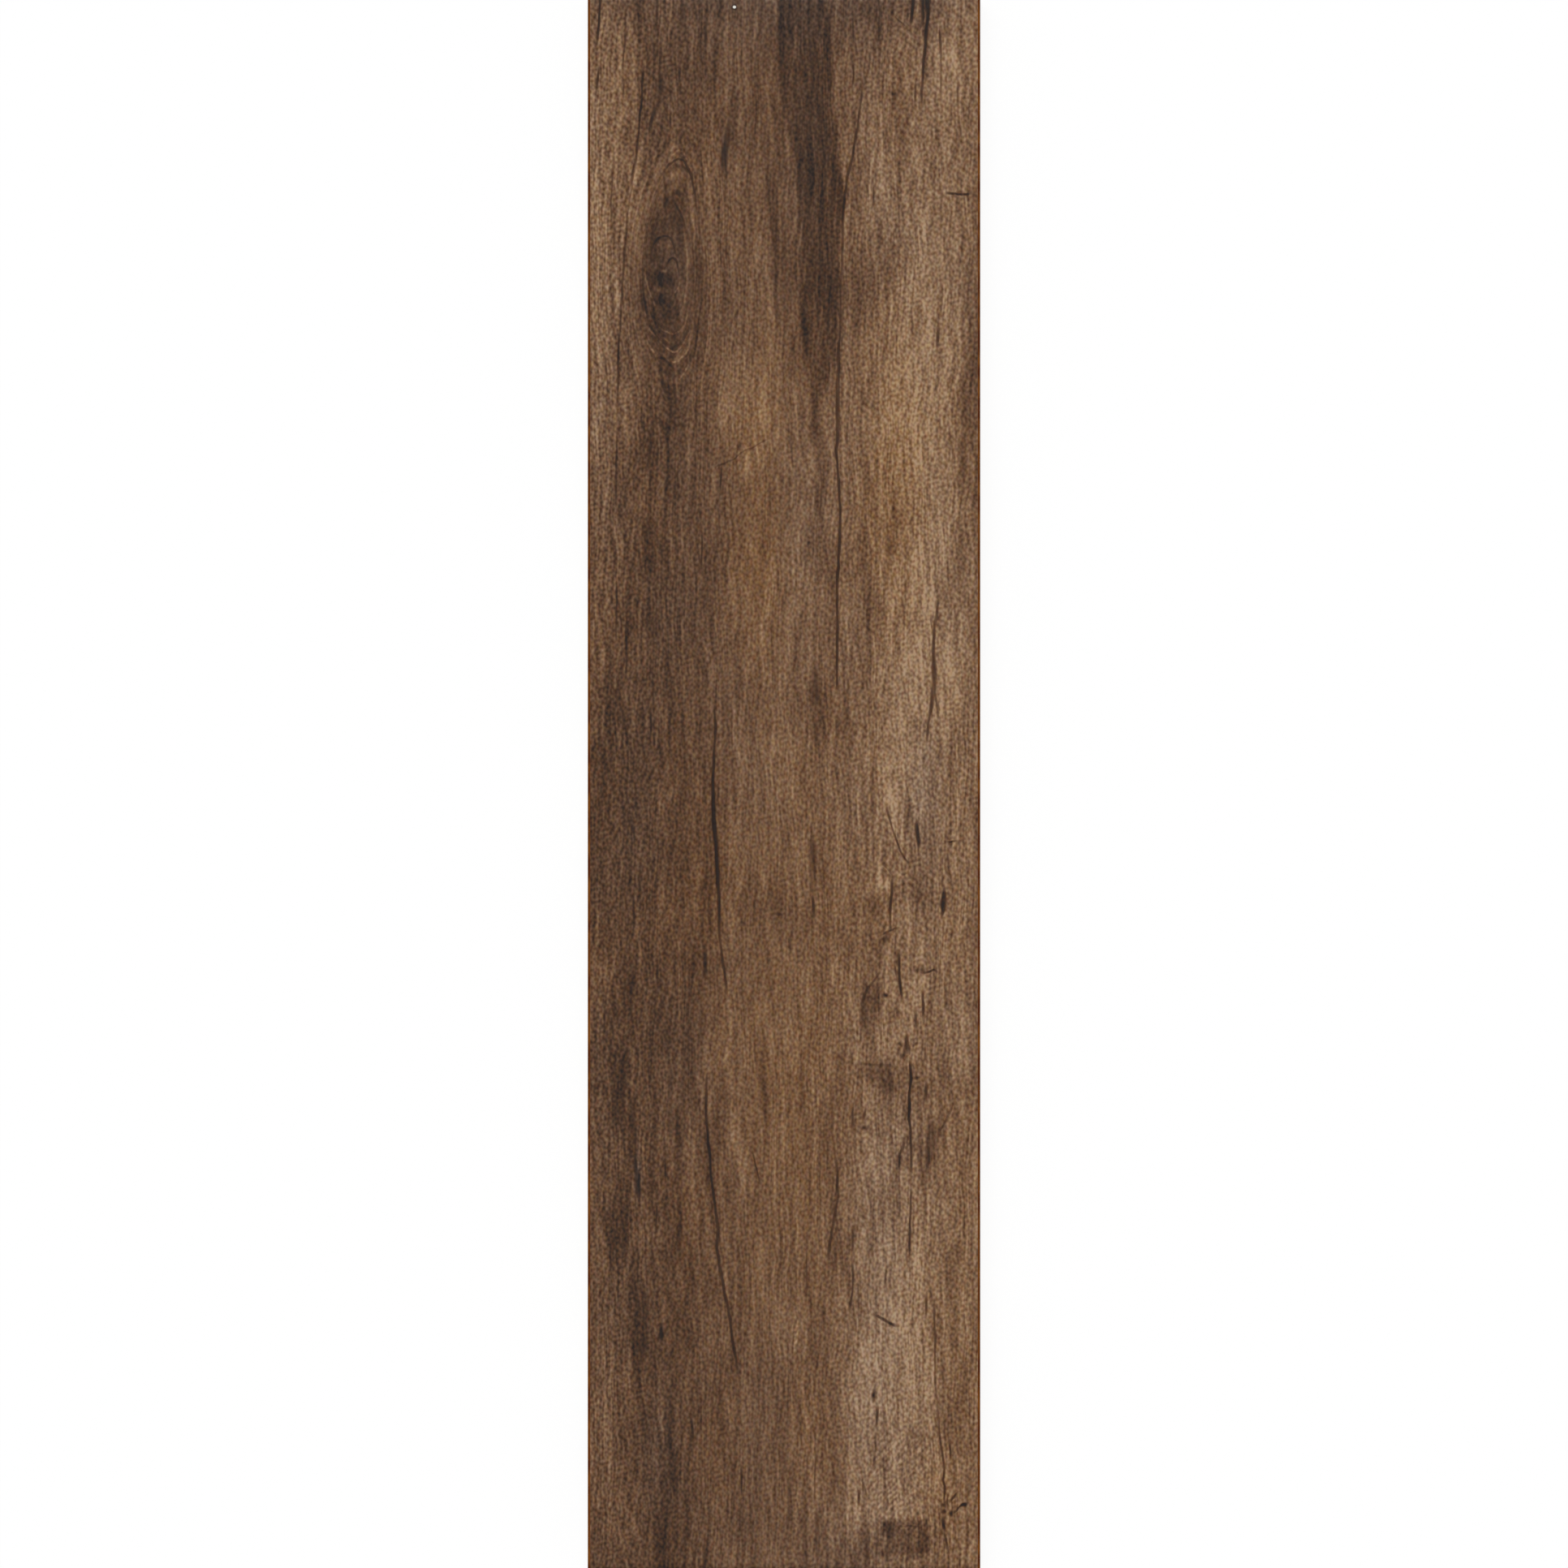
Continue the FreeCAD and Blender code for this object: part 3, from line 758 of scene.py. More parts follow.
class NodeDesk:
    """Adds nodes to one tree, of shaders or of geometry, and links what they are given."""

    def __init__(self, tree):
        self.tree = tree

    def node(self, kind, settings=None, sockets=None):
        """A node of that type: its settings first, then the values or links of its sockets."""
        made = self.tree.nodes.new(kind)
        for name, setting in (settings or {}).items():
            if name == "stops":
                self.set_stops(made.color_ramp, setting)
            elif name == "curves":
                self.set_curves(made.mapping, setting)
            else:
                setattr(made, name, setting)
        for key, given in (sockets or {}).items():
            self.feed(made.inputs[key], given)
        return made

    def feed(self, socket, given):
        """Link a socket or a value to an input, or set the input to a plain number, colour or word."""
        if isinstance(given, (list, tuple)) and given and isinstance(given[0], bpy.types.NodeSocket):
            for link in given:
                self.tree.links.new(link, socket)
            return
        source = given.socket if isinstance(given, Value) else given
        if isinstance(source, bpy.types.NodeSocket):
            self.tree.links.new(source, socket)
        else:
            socket.default_value = source

    @staticmethod
    def set_stops(ramp, stops):
        """Colour stops of a ramp, as (place, colour)."""
        while len(ramp.elements) < len(stops):
            ramp.elements.new(1.0)
        for element, (place, colour) in zip(ramp.elements, stops):
            element.position = place
            element.color = (*colour, 1.0)

    @staticmethod
    def set_curves(mapping, curves):
        """Points of each curve of a curve node, as (from, to), first to last."""
        mapping.use_clip = False
        mapping.extend = "HORIZONTAL"
        for curve, points in zip(mapping.curves, curves):
            curve.points[0].location = points[0]
            curve.points[-1].location = points[-1]
            for point in points[1:-1]:
                curve.points.new(*point)
            for point in curve.points:
                point.handle_type = "VECTOR"
        mapping.update()

    def math(self, operation, *values, clamp=False):
        """One Math node on numbers or values."""
        settings = {"operation": operation, "use_clamp": clamp}
        made = self.node("ShaderNodeMath", settings, dict(enumerate(values)))
        return Value(self, made.outputs[0])

    def vector(self, operation, *vectors):
        """One Vector Math node; a dot product or a length comes back as a value, the rest as a socket."""
        made = self.node("ShaderNodeVectorMath", {"operation": operation}, dict(enumerate(vectors)))
        if operation in {"DOT_PRODUCT", "LENGTH"}:
            return Value(self, made.outputs["Value"])
        return made.outputs["Vector"]

    def combine(self, x, y, z):
        """A vector from three numbers or values."""
        return self.node("ShaderNodeCombineXYZ", None, {"X": x, "Y": y, "Z": z}).outputs[0]

    def separate(self, vector):
        """The three values of a vector."""
        made = self.node("ShaderNodeSeparateXYZ", None, {"Vector": vector})
        return [Value(self, socket) for socket in made.outputs]

    def ramp(self, value, start, end, low=0.0, high=1.0, shape="LINEAR"):
        """The value carried from start..end to low..high, and held beyond."""
        sockets = {"Value": value, "From Min": start, "From Max": end, "To Min": low, "To Max": high}
        settings = {"interpolation_type": shape, "clamp": shape == "LINEAR"}
        made = self.node("ShaderNodeMapRange", settings, sockets)
        return Value(self, made.outputs[0])

    def noise_node(self, place, layer):
        """A layer's noise at a place (column, row, 1), whose rows lie aslant."""
        cos, sin = math.cos(NOISE_TURN), math.sin(NOISE_TURN)
        first_step, second_step = [layer.seed * step for step in SEED_STEPS]
        first = Vector((cos / layer.across, sin / layer.along, first_step))
        second = Vector((-sin / layer.across, cos / layer.along, second_step))
        aslant = self.combine(
            self.vector("DOT_PRODUCT", place, first), self.vector("DOT_PRODUCT", place, second), 0.0)
        sockets = {"Vector": aslant, "Scale": 1.0, "Detail": layer.detail}
        return self.node("ShaderNodeTexNoise", {"noise_dimensions": "2D"}, sockets)

    def noise(self, place, layer):
        """A layer's noise as one value about zero, before its strength."""
        return Value(self, self.noise_node(place, layer).outputs[0]) - 0.5

    def noise_pair(self, place, layer):
        """A layer's noise as two values about zero that don't follow each other."""
        _, first, second = self.separate(self.noise_node(place, layer).outputs[1])
        return first - 0.5, second - 0.5

    def mix_colour(self, factor, first, second):
        """Colour from first to second by a factor, through the Mix node's colour sockets."""
        sockets = {0: factor, 6: first, 7: second}
        return self.node("ShaderNodeMix", {"data_type": "RGBA"}, sockets).outputs[2]


def rgba(colour):
    """A property's colour with its alpha."""
    return (*colour, 1.0)


# The printed wood

def print_place(desk, position):
    """Column and row of the print at a position on the tile."""
    x, y, _ = desk.separate(position)
    column = desk.math("MULTIPLY_ADD", x, 1 / DOT, PRINT_MIDDLE)
    row = desk.math("MULTIPLY_ADD", y, -1 / DOT, PRINT_MIDDLE)
    return column, row


def from_middle(desk, place, spot):
    """How far a place (column, row, 1) is from a spot's middle: one at the spot's rim."""
    turn = math.radians(spot.turn)
    across = Vector((math.cos(turn), -math.sin(turn), 0.0)) / spot.half_cols
    along = Vector((math.sin(turn), math.cos(turn), 0.0)) / spot.half_rows
    middle = Vector((spot.col, spot.row, 0.0))
    across.z = -across.dot(middle)
    along.z = -along.dot(middle)
    if spot.turn:
        inside = desk.combine(
            desk.vector("DOT_PRODUCT", place, across), desk.vector("DOT_PRODUCT", place, along), 0.0)
    else:
        inside = desk.vector("MULTIPLY_ADD", place, (across.x, along.y, 0.0), (across.z, along.z, 0.0))
    return desk.vector("LENGTH", inside)


def add_spots(desk, place, tone, spots):
    """The tone with each spot's own tone added where it lies."""
    for spot in spots:
        tone = tone + desk.ramp(from_middle(desk, place, spot), 1.0, 0.0, 0.0, spot.tone, "SMOOTHSTEP")
    return tone


def run_down(desk, row, bends):
    """Three values that change down the board, from bends of (row, value, value, value)."""
    first, last = bends[0][0], bends[-1][0]
    span = last - first
    along = desk.math("MULTIPLY_ADD", row, 1 / span, -first / span)
    shares = [(bend[0] - first) / span for bend in bends]
    curves = [[(share, bend[part]) for share, bend in zip(shares, bends)] for part in (1, 2, 3)]
    thrice = desk.combine(along, along, along)
    bent = desk.node("ShaderNodeVectorCurve", {"curves": curves}, {"Vector": thrice})
    return desk.separate(bent.outputs[0])


def strung(lines):
    """The lines strung together end to end, in as few strings as their gaps and reach allow."""
    strings = []
    for bends in sorted(lines):
        first, last = bends[0], bends[-1]
        before = (first[0] - LINE_HOLD, first[1], 0.0, first[3])
        after = (last[0] + LINE_HOLD, last[1], 0.0, last[3])
        held = [before, *bends, after]
        for string in strings:
            reach = last[0] - string[0][0]
            if string[-1][0] + LINE_GAP <= held[0][0] and reach < STRING_REACH:
                string.extend(held)
                break
        else:
            strings.append(held)
    return strings


def line_tone(desk, across, along, bends):
    """Tone of a string of lines, falling to nothing at their sides."""
    centre, tone, half_width = run_down(desk, along, bends)
    return desk.ramp(abs(across - centre) / half_width, LINE_END, LINE_FULL, shape="SMOOTHSTEP") * tone


def band_tone(desk, column, row, band):
    """Tone between a band's two edges."""
    left, right, tone = run_down(desk, row, band.bends)
    inside = desk.math("MINIMUM", column - left, right - column)
    return desk.ramp(inside, -band.soft, band.soft, shape="SMOOTHSTEP") * tone


def knot_rings(desk, column, row, waver):
    """Tone of the rings round the knot: egg-shaped, and fading in and out along their length."""
    middle_column, middle_row = KNOT_MIDDLE
    above, below = [
        desk.ramp(row, middle_row + start, middle_row + end, 0.0, lean, "SMOOTHSTEP")
        for start, end, lean in (KNOT_LEAN_ABOVE, KNOT_LEAN_BELOW)]
    leaning = above + below
    u = (column - middle_column - leaning) * (1 / KNOT_HALF_COLUMNS)
    down = row - middle_row
    upper = desk.math("MINIMUM", down, 0.0) * (1 / KNOT_ROWS_ABOVE)
    v = desk.math("MULTIPLY_ADD", desk.math("MAXIMUM", down, 0.0), 1 / KNOT_ROWS_BELOW, upper)
    way = desk.combine(u, v, 0.0)
    radius = desk.math("MULTIPLY_ADD", waver, KNOT_RING_WAVER, desk.vector("LENGTH", way))
    spread = desk.vector(
        "MULTIPLY_ADD", desk.vector("NORMALIZE", way), (KNOT_RING_FADE, KNOT_RING_FADE, 0.0),
        desk.combine(0.0, 0.0, radius * KNOT_RING_COUNT))
    rings = desk.node("ShaderNodeTexNoise", None, {"Vector": spread, "Scale": 1.0, "Detail": 1.0})
    contrast = desk.node("ShaderNodeFloatCurve", {"curves": [KNOT_RING_CONTRAST]}, {"Value": radius})
    return (Value(desk, rings.outputs[0]) - 0.5) * Value(desk, contrast.outputs[0])


def grain_drift(desk, column, row):
    """How far the straight grain is led aside, in columns: gentle waves, and spread round the knot."""
    place = desk.combine(column, row, 1.0)
    drift = sum(desk.noise(place, layer) * layer.strength for layer in DRIFT_LAYERS)
    near_knot = desk.ramp(from_middle(desk, place, KNOT_SPREAD), 1.0, 0.0, shape="SMOOTHSTEP")
    return drift - (column - KNOT_MIDDLE[0]) * near_knot * KNOT_SPREAD.tone


def board_tone(desk, column, row, drift):
    """Broad tone of the print, of 255: what is wide enough for the face's points to carry."""
    flow = desk.combine(column + drift, row, 1.0)
    fray = desk.noise(flow, FRAY)
    ripple = desk.noise(flow, RIPPLE)

    def astray(columns, rows):
        return column + ripple * columns, row + fray * rows

    board = desk.node("ShaderNodeFloatCurve", {"curves": [BOARD_TONE]}, {
        "Value": column + ripple * BOARD_RIPPLE})
    tone = Value(desk, board.outputs[0])
    tone = add_spots(desk, desk.combine(*astray(*BROAD_STRAY), 1.0), tone, BROAD_TONES.values())
    band_column, band_row = astray(*BAND_STRAY)
    for band in BANDS.values():
        tone = tone + band_tone(desk, band_column, band_row, band)
    held = desk.combine(*astray(*PATCH_STRAY), 1.0)
    for patches in (KNOT_SHADES.values(), *PATCHES.values()):
        tone = add_spots(desk, held, tone, patches)
    for layer in STREAK_LAYERS:
        tone = tone + desk.noise(flow, layer) * layer.strength
    return tone


def warmth(desk, column, row):
    """Saturation of the print: one where its tone alone gives the colour."""
    place = desk.combine(column, row, 1.0)
    whole = desk.math("MULTIPLY_ADD", desk.noise(place, WARMTH_DRIFT), WARMTH_DRIFT.strength, 1.0)
    return add_spots(desk, place, whole, WARM_PATCHES.values())


def carried(desk, name):
    """What the face's points carry under that name."""
    return Value(desk, desk.node("ShaderNodeAttribute", {"attribute_name": name}).outputs["Fac"])


def wood_tone(desk, column, row, waver):
    """Tone of the whole print, of 255, and its fine grit about zero."""
    place = desk.combine(column, row, 1.0)
    flow = desk.combine(column + carried(desk, DRIFT_ATTRIBUTE), row, 1.0)
    waver_columns, waver_rows = LINE_WAVER
    fine_column = desk.math("MULTIPLY_ADD", waver, waver_columns, column)
    fine_row = desk.math("MULTIPLY_ADD", waver, waver_rows, row)
    fine_place = desk.combine(fine_column, fine_row, 1.0)

    lines = list(SPLITS.values()) + [bends for group in FINE_LINES.values() for bends in group]
    cross_lines = [bends for group in CROSS_LINES.values() for bends in group]
    drawn = sum(line_tone(desk, fine_column, fine_row, string) for string in strung(lines))
    drawn = drawn + sum(line_tone(desk, fine_row, fine_column, string) for string in strung(cross_lines))
    marks = add_spots(desk, fine_place, 0.0, SMALL_MARKS.values())

    grit = desk.noise(place, GRIT)
    tone = desk.math("MULTIPLY_ADD", grit * LINE_GRIT + 1.0, drawn, carried(desk, TONE_ATTRIBUTE) + marks)
    tone = tone + knot_rings(desk, column, row, waver) + saw_marks(desk, place)
    tone = tone + square_patch(desk, place, column, row)
    grain = grit * GRIT.strength
    for layer in FIBRES:
        grain = desk.math("MULTIPLY_ADD", desk.noise(flow, layer), layer.strength, grain)
    share = desk.node("ShaderNodeFloatCurve", {"curves": [GRAIN_SHARE]}, {"Value": column})
    in_knot = from_middle(desk, place, KNOT_CALM)
    (dark, dark_share), (pale, pale_share) = GRAIN_DARK, GRAIN_PALE
    contrast = desk.ramp(tone, dark, pale, dark_share, pale_share) * Value(desk, share.outputs[0])
    contrast = contrast * desk.ramp(in_knot, 0.5, 1.0, KNOT_CALM.tone, 1.0, "SMOOTHSTEP")
    return tone + grain * contrast, grit


def saw_marks(desk, place):
    """Tone of the saw marks, which run up to the right."""
    across = desk.vector("DOT_PRODUCT", place, (SAW_MARK_WAY, SAW_MARK_WAY, 0.0))
    along = desk.vector("DOT_PRODUCT", place, (SAW_MARK_WAY, -SAW_MARK_WAY, 0.0))
    marks = desk.noise(desk.combine(across, along, 1.0), SAW_MARK)
    from_them = from_middle(desk, place, SAW_MARKS)
    return marks * desk.ramp(from_them, 1.0, 0.5, 0.0, SAW_MARKS.tone, "SMOOTHSTEP")


def square_patch(desk, place, column, row):
    """Tone of the squarish dark patch near the near end: a clear far edge, the rest ragged."""
    spot = SQUARE_PATCH
    rag = desk.noise(place, RAG)
    ragged = rag * RAG.strength
    far_row, near_row = spot.row - spot.half_rows, spot.row + spot.half_rows
    ragged_out, ragged_in = RAGGED_EDGE
    clear_out, clear_in = CLEAR_EDGE

    def inside(from_edge, outer, inner):
        return desk.ramp(from_edge, outer, inner, shape="SMOOTHSTEP")

    aside = inside(
        abs(column - spot.col) + ragged, spot.half_cols + ragged_out, spot.half_cols + ragged_in)
    far = inside(row, far_row - clear_out, far_row - clear_in)
    near = inside(row + ragged, near_row + ragged_out, near_row + ragged_in)
    return aside * far * near * (rag * RAG_TONE + 1.0) * spot.tone


# Materials

def new_material(name):
    """An empty node material with its desk and output."""
    material = bpy.data.materials.new(name)
    material.use_nodes = True
    material.node_tree.nodes.clear()
    desk = NodeDesk(material.node_tree)
    output = desk.node("ShaderNodeOutputMaterial")
    return material, desk, output


def object_position(desk):
    """Where a point lies on the tile, in metres."""
    return desk.node("ShaderNodeTexCoord").outputs["Object"]


def printed_glaze(colours):
    """The matt glaze with its wood print, on the face and the arris, with painted shade along the long
    sides' arris and the near end.
    """
    material, desk, output = new_material("printed_glaze")
    column, row = print_place(desk, object_position(desk))
    place = desk.combine(column, row, 1.0)
    waver = desk.noise(place, WAVER)
    tone, grit = wood_tone(desk, column, row, waver)
    # Painted shade along the near end, the end away from the key light
    tone = tone - desk.ramp(row, PRINT_SIDE - NEAR_END_PAINTED_SHADE_ROWS, PRINT_SIDE) * NEAR_END_PAINTED_SHADE

    stops = [
        (0.0, colours.darkest), (0.2, colours.dark), (0.4, colours.brown),
        (0.6, colours.tan), (0.8, colours.pale), (1.0, colours.palest)]
    ramp = desk.node("ShaderNodeValToRGB", {"stops": stops}, {"Fac": desk.ramp(tone, *TONE_RANGE)})
    hue, strength = desk.noise_pair(place, TINT)
    saturation = carried(desk, WARMTH_ATTRIBUTE)
    wood = desk.node("ShaderNodeHueSaturation", None, {
        "Hue": desk.math("MULTIPLY_ADD", hue, HUE_SPREAD, 0.5),
        "Saturation": desk.math("MULTIPLY_ADD", strength, SATURATION_SPREAD, saturation),
        "Color": ramp.outputs[0]})

    from_side = HALF_COLUMNS - abs(column - PRINT_MIDDLE)
    # Painted shade: the long sides' arris is coloured darker and redder, in wavering patches
    painted_side_shade = desk.mix_colour(
        desk.ramp(waver, -PAINTED_SIDE_SHADE_WAVER, PAINTED_SIDE_SHADE_WAVER), rgba(colours.painted_side_shade_dark), rgba(colours.edge))
    colour = desk.mix_colour(desk.ramp(from_side, *PAINTED_SIDE_SHADE_EDGE), wood.outputs[0], painted_side_shade)
    for spot, edge, shown in (
            (CHIP_RIM, CHIP_RIM_EDGE, colours.darkest), (CHIP, CHIP_EDGE, colours.ground)):
        cover = desk.ramp(from_middle(desk, place, spot), *edge, 0.0, spot.tone)
        colour = desk.mix_colour(cover, colour, rgba(shown))

    bump = desk.node("ShaderNodeBump", None, {
        "Strength": 0.5, "Distance": 0.12 * MILLIMETRE, "Height": grit})
    glaze = desk.node("ShaderNodeBsdfPrincipled", None, {
        "Base Color": colour, "Roughness": desk.math("MULTIPLY_ADD", grit, -0.25, 0.6),
        "Specular IOR Level": 0.2, "Normal": bump.outputs[0]})
    dry_edge = desk.node("ShaderNodeBsdfPrincipled", None, {
        "Base Color": colour, "Roughness": 1.0, "Specular IOR Level": 0.0})
    dry = desk.ramp(from_side, *DRY_EDGE)
    both = desk.node("ShaderNodeMixShader", None, {0: dry, 1: glaze.outputs[0], 2: dry_edge.outputs[0]})
    desk.feed(output.inputs["Surface"], both.outputs[0])
    return material


def porcelain_body(colours, sizes):
    """The bare fired body of the walls and the back, with glaze run over the walls' tops."""
    material, desk, output = new_material("porcelain_body")
    position = object_position(desk)
    height = desk.separate(position)[2] / MILLIMETRE
    dots = desk.vector("SCALE", position)
    dots.node.inputs["Scale"].default_value = 1 / MILLIMETRE

    def speckle(size, seed, detail):
        sockets = {"Vector": desk.vector("ADD", dots, (seed * 3.1, seed * 1.7, seed)),
                   "Scale": 1 / size, "Detail": detail}
        made = desk.node("ShaderNodeTexNoise", None, sockets)
        return Value(desk, made.outputs[0]) - 0.5

    clouds = speckle(*BODY_CLOUDS)
    grit = speckle(*BODY_GRIT)
    shade = desk.math("ADD", clouds * 0.9 + grit * 1.1, 0.5, clamp=True)
    colour = desk.mix_colour(shade, rgba(colours.body_dark), rgba(colours.body))
    pepper = desk.ramp(speckle(*BODY_PEPPER), 0.24, 0.3)
    colour = desk.mix_colour(pepper * 0.5, colour, rgba(colours.tan))

    wash = desk.ramp(height, *WASH_HEIGHTS) * desk.ramp(speckle(*BODY_WASH), -0.12, 0.16)
    colour = desk.mix_colour(wash * 0.55, colour, rgba(colours.ground))

    thickness = sizes.thickness / MILLIMETRE
    ragged = speckle(*BODY_RAG) * 1.6 + speckle(*BODY_FINE_RAG) * 0.5
    foot = height + ragged
    ground = desk.ramp(foot, *[thickness - depth for depth in GROUND_DEPTHS])
    colour = desk.mix_colour(ground * 0.8, colour, rgba(colours.ground))
    overrun = desk.ramp(foot, *[thickness - depth for depth in GLAZE_DEPTHS])
    colour = desk.mix_colour(overrun, colour, rgba(colours.edge))

    bump = desk.node("ShaderNodeBump", None, {
        "Strength": 0.4, "Distance": 0.1 * MILLIMETRE, "Height": grit})
    shader = desk.node("ShaderNodeBsdfPrincipled", None, {
        "Base Color": colour, "Roughness": desk.ramp(overrun, 0, 1, 0.85, 0.6),
        "Specular IOR Level": 0.3, "Normal": bump.outputs[0]})
    desk.feed(output.inputs["Surface"], shader.outputs[0])
    return material


# The pressed tile

def add_input(tree, name, kind, value):
    """A named input of a node tree; its identifier is what a modifier is set by."""
    socket = tree.interface.new_socket(name, in_out="INPUT", socket_type=kind)
    return socket.identifier, value


def rim_steps(sizes):
    """Steps from the face's rim out over the arris, down the wall and in under the foot bevel."""
    arris = sizes.arris_radius
    places = []
    for step in range(sizes.arris_steps + 1):
        turn = math.pi / 2 * step / sizes.arris_steps
        places.append((arris * math.sin(turn), arris * (1 - math.cos(turn))))
    wall_foot = sizes.thickness - sizes.foot_bevel
    for step in range(1, sizes.wall_steps + 1):
        places.append((arris, arris + (wall_foot - arris) * step / sizes.wall_steps))
    places.append((arris - sizes.foot_bevel, sizes.thickness))
    return [(b[0] - a[0], b[1] - a[1]) for a, b in zip(places, places[1:])]


def key_spacing(span, sizes):
    """Count and pitch of the back's pockets along one side: an even count, a rib at mid span."""
    keyed = span - 2 * (sizes.foot_bevel + sizes.key_border) + sizes.key_rib
    count = max(2, 2 * round(keyed / sizes.key_pitch / 2))
    return count, keyed / count


def press_tree(sizes, glaze, body):
    """Geometry Nodes that press the tile: face, emboss, arris, walls, foot bevel and keyed back."""
    tree = bpy.data.node_groups.new("press_tile", "GeometryNodeTree")
    tree.interface.new_socket("Tile", in_out="OUTPUT", socket_type="NodeSocketGeometry")
    columns, pitch_x = key_spacing(sizes.width, sizes)
    rows, pitch_y = key_spacing(sizes.length, sizes)
    given = dict([
        add_input(tree, "Face Width", "NodeSocketFloat", sizes.width - 2 * sizes.arris_radius),
        add_input(tree, "Face Length", "NodeSocketFloat", sizes.length - 2 * sizes.arris_radius),
        add_input(tree, "Thickness", "NodeSocketFloat", sizes.thickness),
        add_input(tree, "Face Columns", "NodeSocketInt", sizes.face_columns),
        add_input(tree, "Face Rows", "NodeSocketInt", sizes.face_rows),
        add_input(tree, "Grain Depth", "NodeSocketFloat", sizes.grain_depth),
        add_input(tree, "Split Depth", "NodeSocketFloat", sizes.split_depth),
        add_input(tree, "Key Columns", "NodeSocketInt", columns),
        add_input(tree, "Key Rows", "NodeSocketInt", rows),
        add_input(tree, "Key Pitch Across", "NodeSocketFloat", pitch_x),
        add_input(tree, "Key Pitch Along", "NodeSocketFloat", pitch_y),
        add_input(tree, "Key Rib", "NodeSocketFloat", sizes.key_rib),
        add_input(tree, "Key Depth", "NodeSocketFloat", sizes.key_depth),
        add_input(tree, "Glaze", "NodeSocketMaterial", glaze),
        add_input(tree, "Body", "NodeSocketMaterial", body),
    ])
    desk = NodeDesk(tree)
    inputs = desk.node("NodeGroupInput").outputs

    def value(name):
        return Value(desk, inputs[name])

    shell, sole = pressed_shell(desk, inputs, value, sizes)
    mouth = desk.node("GeometryNodeMeshGrid", None, {
        "Size X": value("Key Pitch Across") - value("Key Rib"),
        "Size Y": value("Key Pitch Along") - value("Key Rib"),
        "Vertices X": 2, "Vertices Y": 2}).outputs["Mesh"]
    stations = desk.node("GeometryNodeMeshGrid", None, {
        "Size X": (value("Key Columns") - 1) * value("Key Pitch Across"),
        "Size Y": (value("Key Rows") - 1) * value("Key Pitch Along"),
        "Vertices X": inputs["Key Columns"], "Vertices Y": inputs["Key Rows"]}).outputs["Mesh"]

    def at_stations(shape):
        placed = desk.node("GeometryNodeInstanceOnPoints", None, {"Points": stations, "Instance": shape})
        return desk.node("GeometryNodeRealizeInstances", None, {"Geometry": placed.outputs[0]}).outputs[0]

    outline = desk.node("GeometryNodeMeshToCurve", None, {"Mesh": mouth}).outputs[0]
    land_edges = desk.node("GeometryNodeJoinGeometry", None, {"Geometry": [sole, at_stations(outline)]})
    land = desk.node("GeometryNodeFillCurve", {"mode": "TRIANGLES"}, {"Curve": land_edges.outputs[0]})
    land = desk.node("GeometryNodeFlipFaces", None, {"Mesh": land.outputs[0]})
    pockets = at_stations(pocket(desk, mouth, value, sizes))

    whole = desk.node("GeometryNodeJoinGeometry", None, {"Geometry": [shell, land.outputs[0], pockets]})
    welded = desk.node("GeometryNodeMergeByDistance", None, {
        "Geometry": whole.outputs[0], "Distance": sizes.weld})
    smooth = desk.node("GeometryNodeSetShadeSmooth", None, {"Geometry": welded.outputs[0]})
    loose = desk.node("GeometryNodeRealizeInstances", None, {"Geometry": smooth.outputs[0]})
    bodied = desk.node("GeometryNodeSetMaterial", None, {
        "Geometry": loose.outputs[0], "Material": inputs["Body"]})
    height = desk.separate(desk.node("GeometryNodeInputPosition").outputs[0])[2]
    glazed = height > value("Thickness") - sizes.arris_radius
    finished = desk.node("GeometryNodeSetMaterial", None, {
        "Geometry": bodied.outputs[0], "Selection": glazed, "Material": inputs["Glaze"]})
    desk.node("NodeGroupOutput", None, {"Tile": finished.outputs[0]})
    return tree, given


def pressed_shell(desk, inputs, value, sizes):
    """Face, arris, walls and foot bevel, and the outline of the sole that they end in."""
    grid = desk.node("GeometryNodeMeshGrid", None, {
        "Size X": inputs["Face Width"], "Size Y": inputs["Face Length"],
        "Vertices X": inputs["Face Columns"], "Vertices Y": inputs["Face Rows"]})
    position = desk.node("GeometryNodeInputPosition").outputs[0]
    column, row = print_place(desk, position)
    drift = grain_drift(desk, column, row)
    load = {
        TONE_ATTRIBUTE: board_tone(desk, column, row, drift),
        DRIFT_ATTRIBUTE: drift,
        WARMTH_ATTRIBUTE: warmth(desk, column, row),
    }
    shell = grid.outputs["Mesh"]
    for name, amount in load.items():
        shell = desk.node("GeometryNodeStoreNamedAttribute", {"data_type": "FLOAT", "domain": "POINT"}, {
            "Geometry": shell, "Name": name, "Value": amount}).outputs[0]
    depth = emboss(desk, position, column, row, drift, value)
    shell = desk.node("GeometryNodeSetPosition", None, {
        "Geometry": shell, "Offset": desk.combine(0.0, 0.0, value("Thickness") - depth)}).outputs[0]

    x, y, _ = desk.separate(position)
    out_x = desk.math("SIGN", x) * (abs(x) > value("Face Width") / 2 - sizes.rim_slack)
    out_y = desk.math("SIGN", y) * (abs(y) > value("Face Length") / 2 - sizes.rim_slack)
    neighbours = desk.node("GeometryNodeInputMeshEdgeNeighbors").outputs[0]
    rim = desk.math("LESS_THAN", neighbours, 1.5).socket
    for outward, down in rim_steps(sizes):
        extruded = desk.node("GeometryNodeExtrudeMesh", {"mode": "EDGES"}, {
            "Mesh": shell, "Selection": rim, "Offset Scale": 0.0})
        rim = extruded.outputs["Top"]
        offset = desk.combine(out_x * outward, out_y * outward, -down)
        shell = desk.node("GeometryNodeSetPosition", None, {
            "Geometry": extruded.outputs["Mesh"], "Selection": rim, "Offset": offset}).outputs[0]
    sole = desk.node("GeometryNodeMeshToCurve", None, {"Mesh": shell, "Selection": rim}).outputs[0]
    return shell, sole


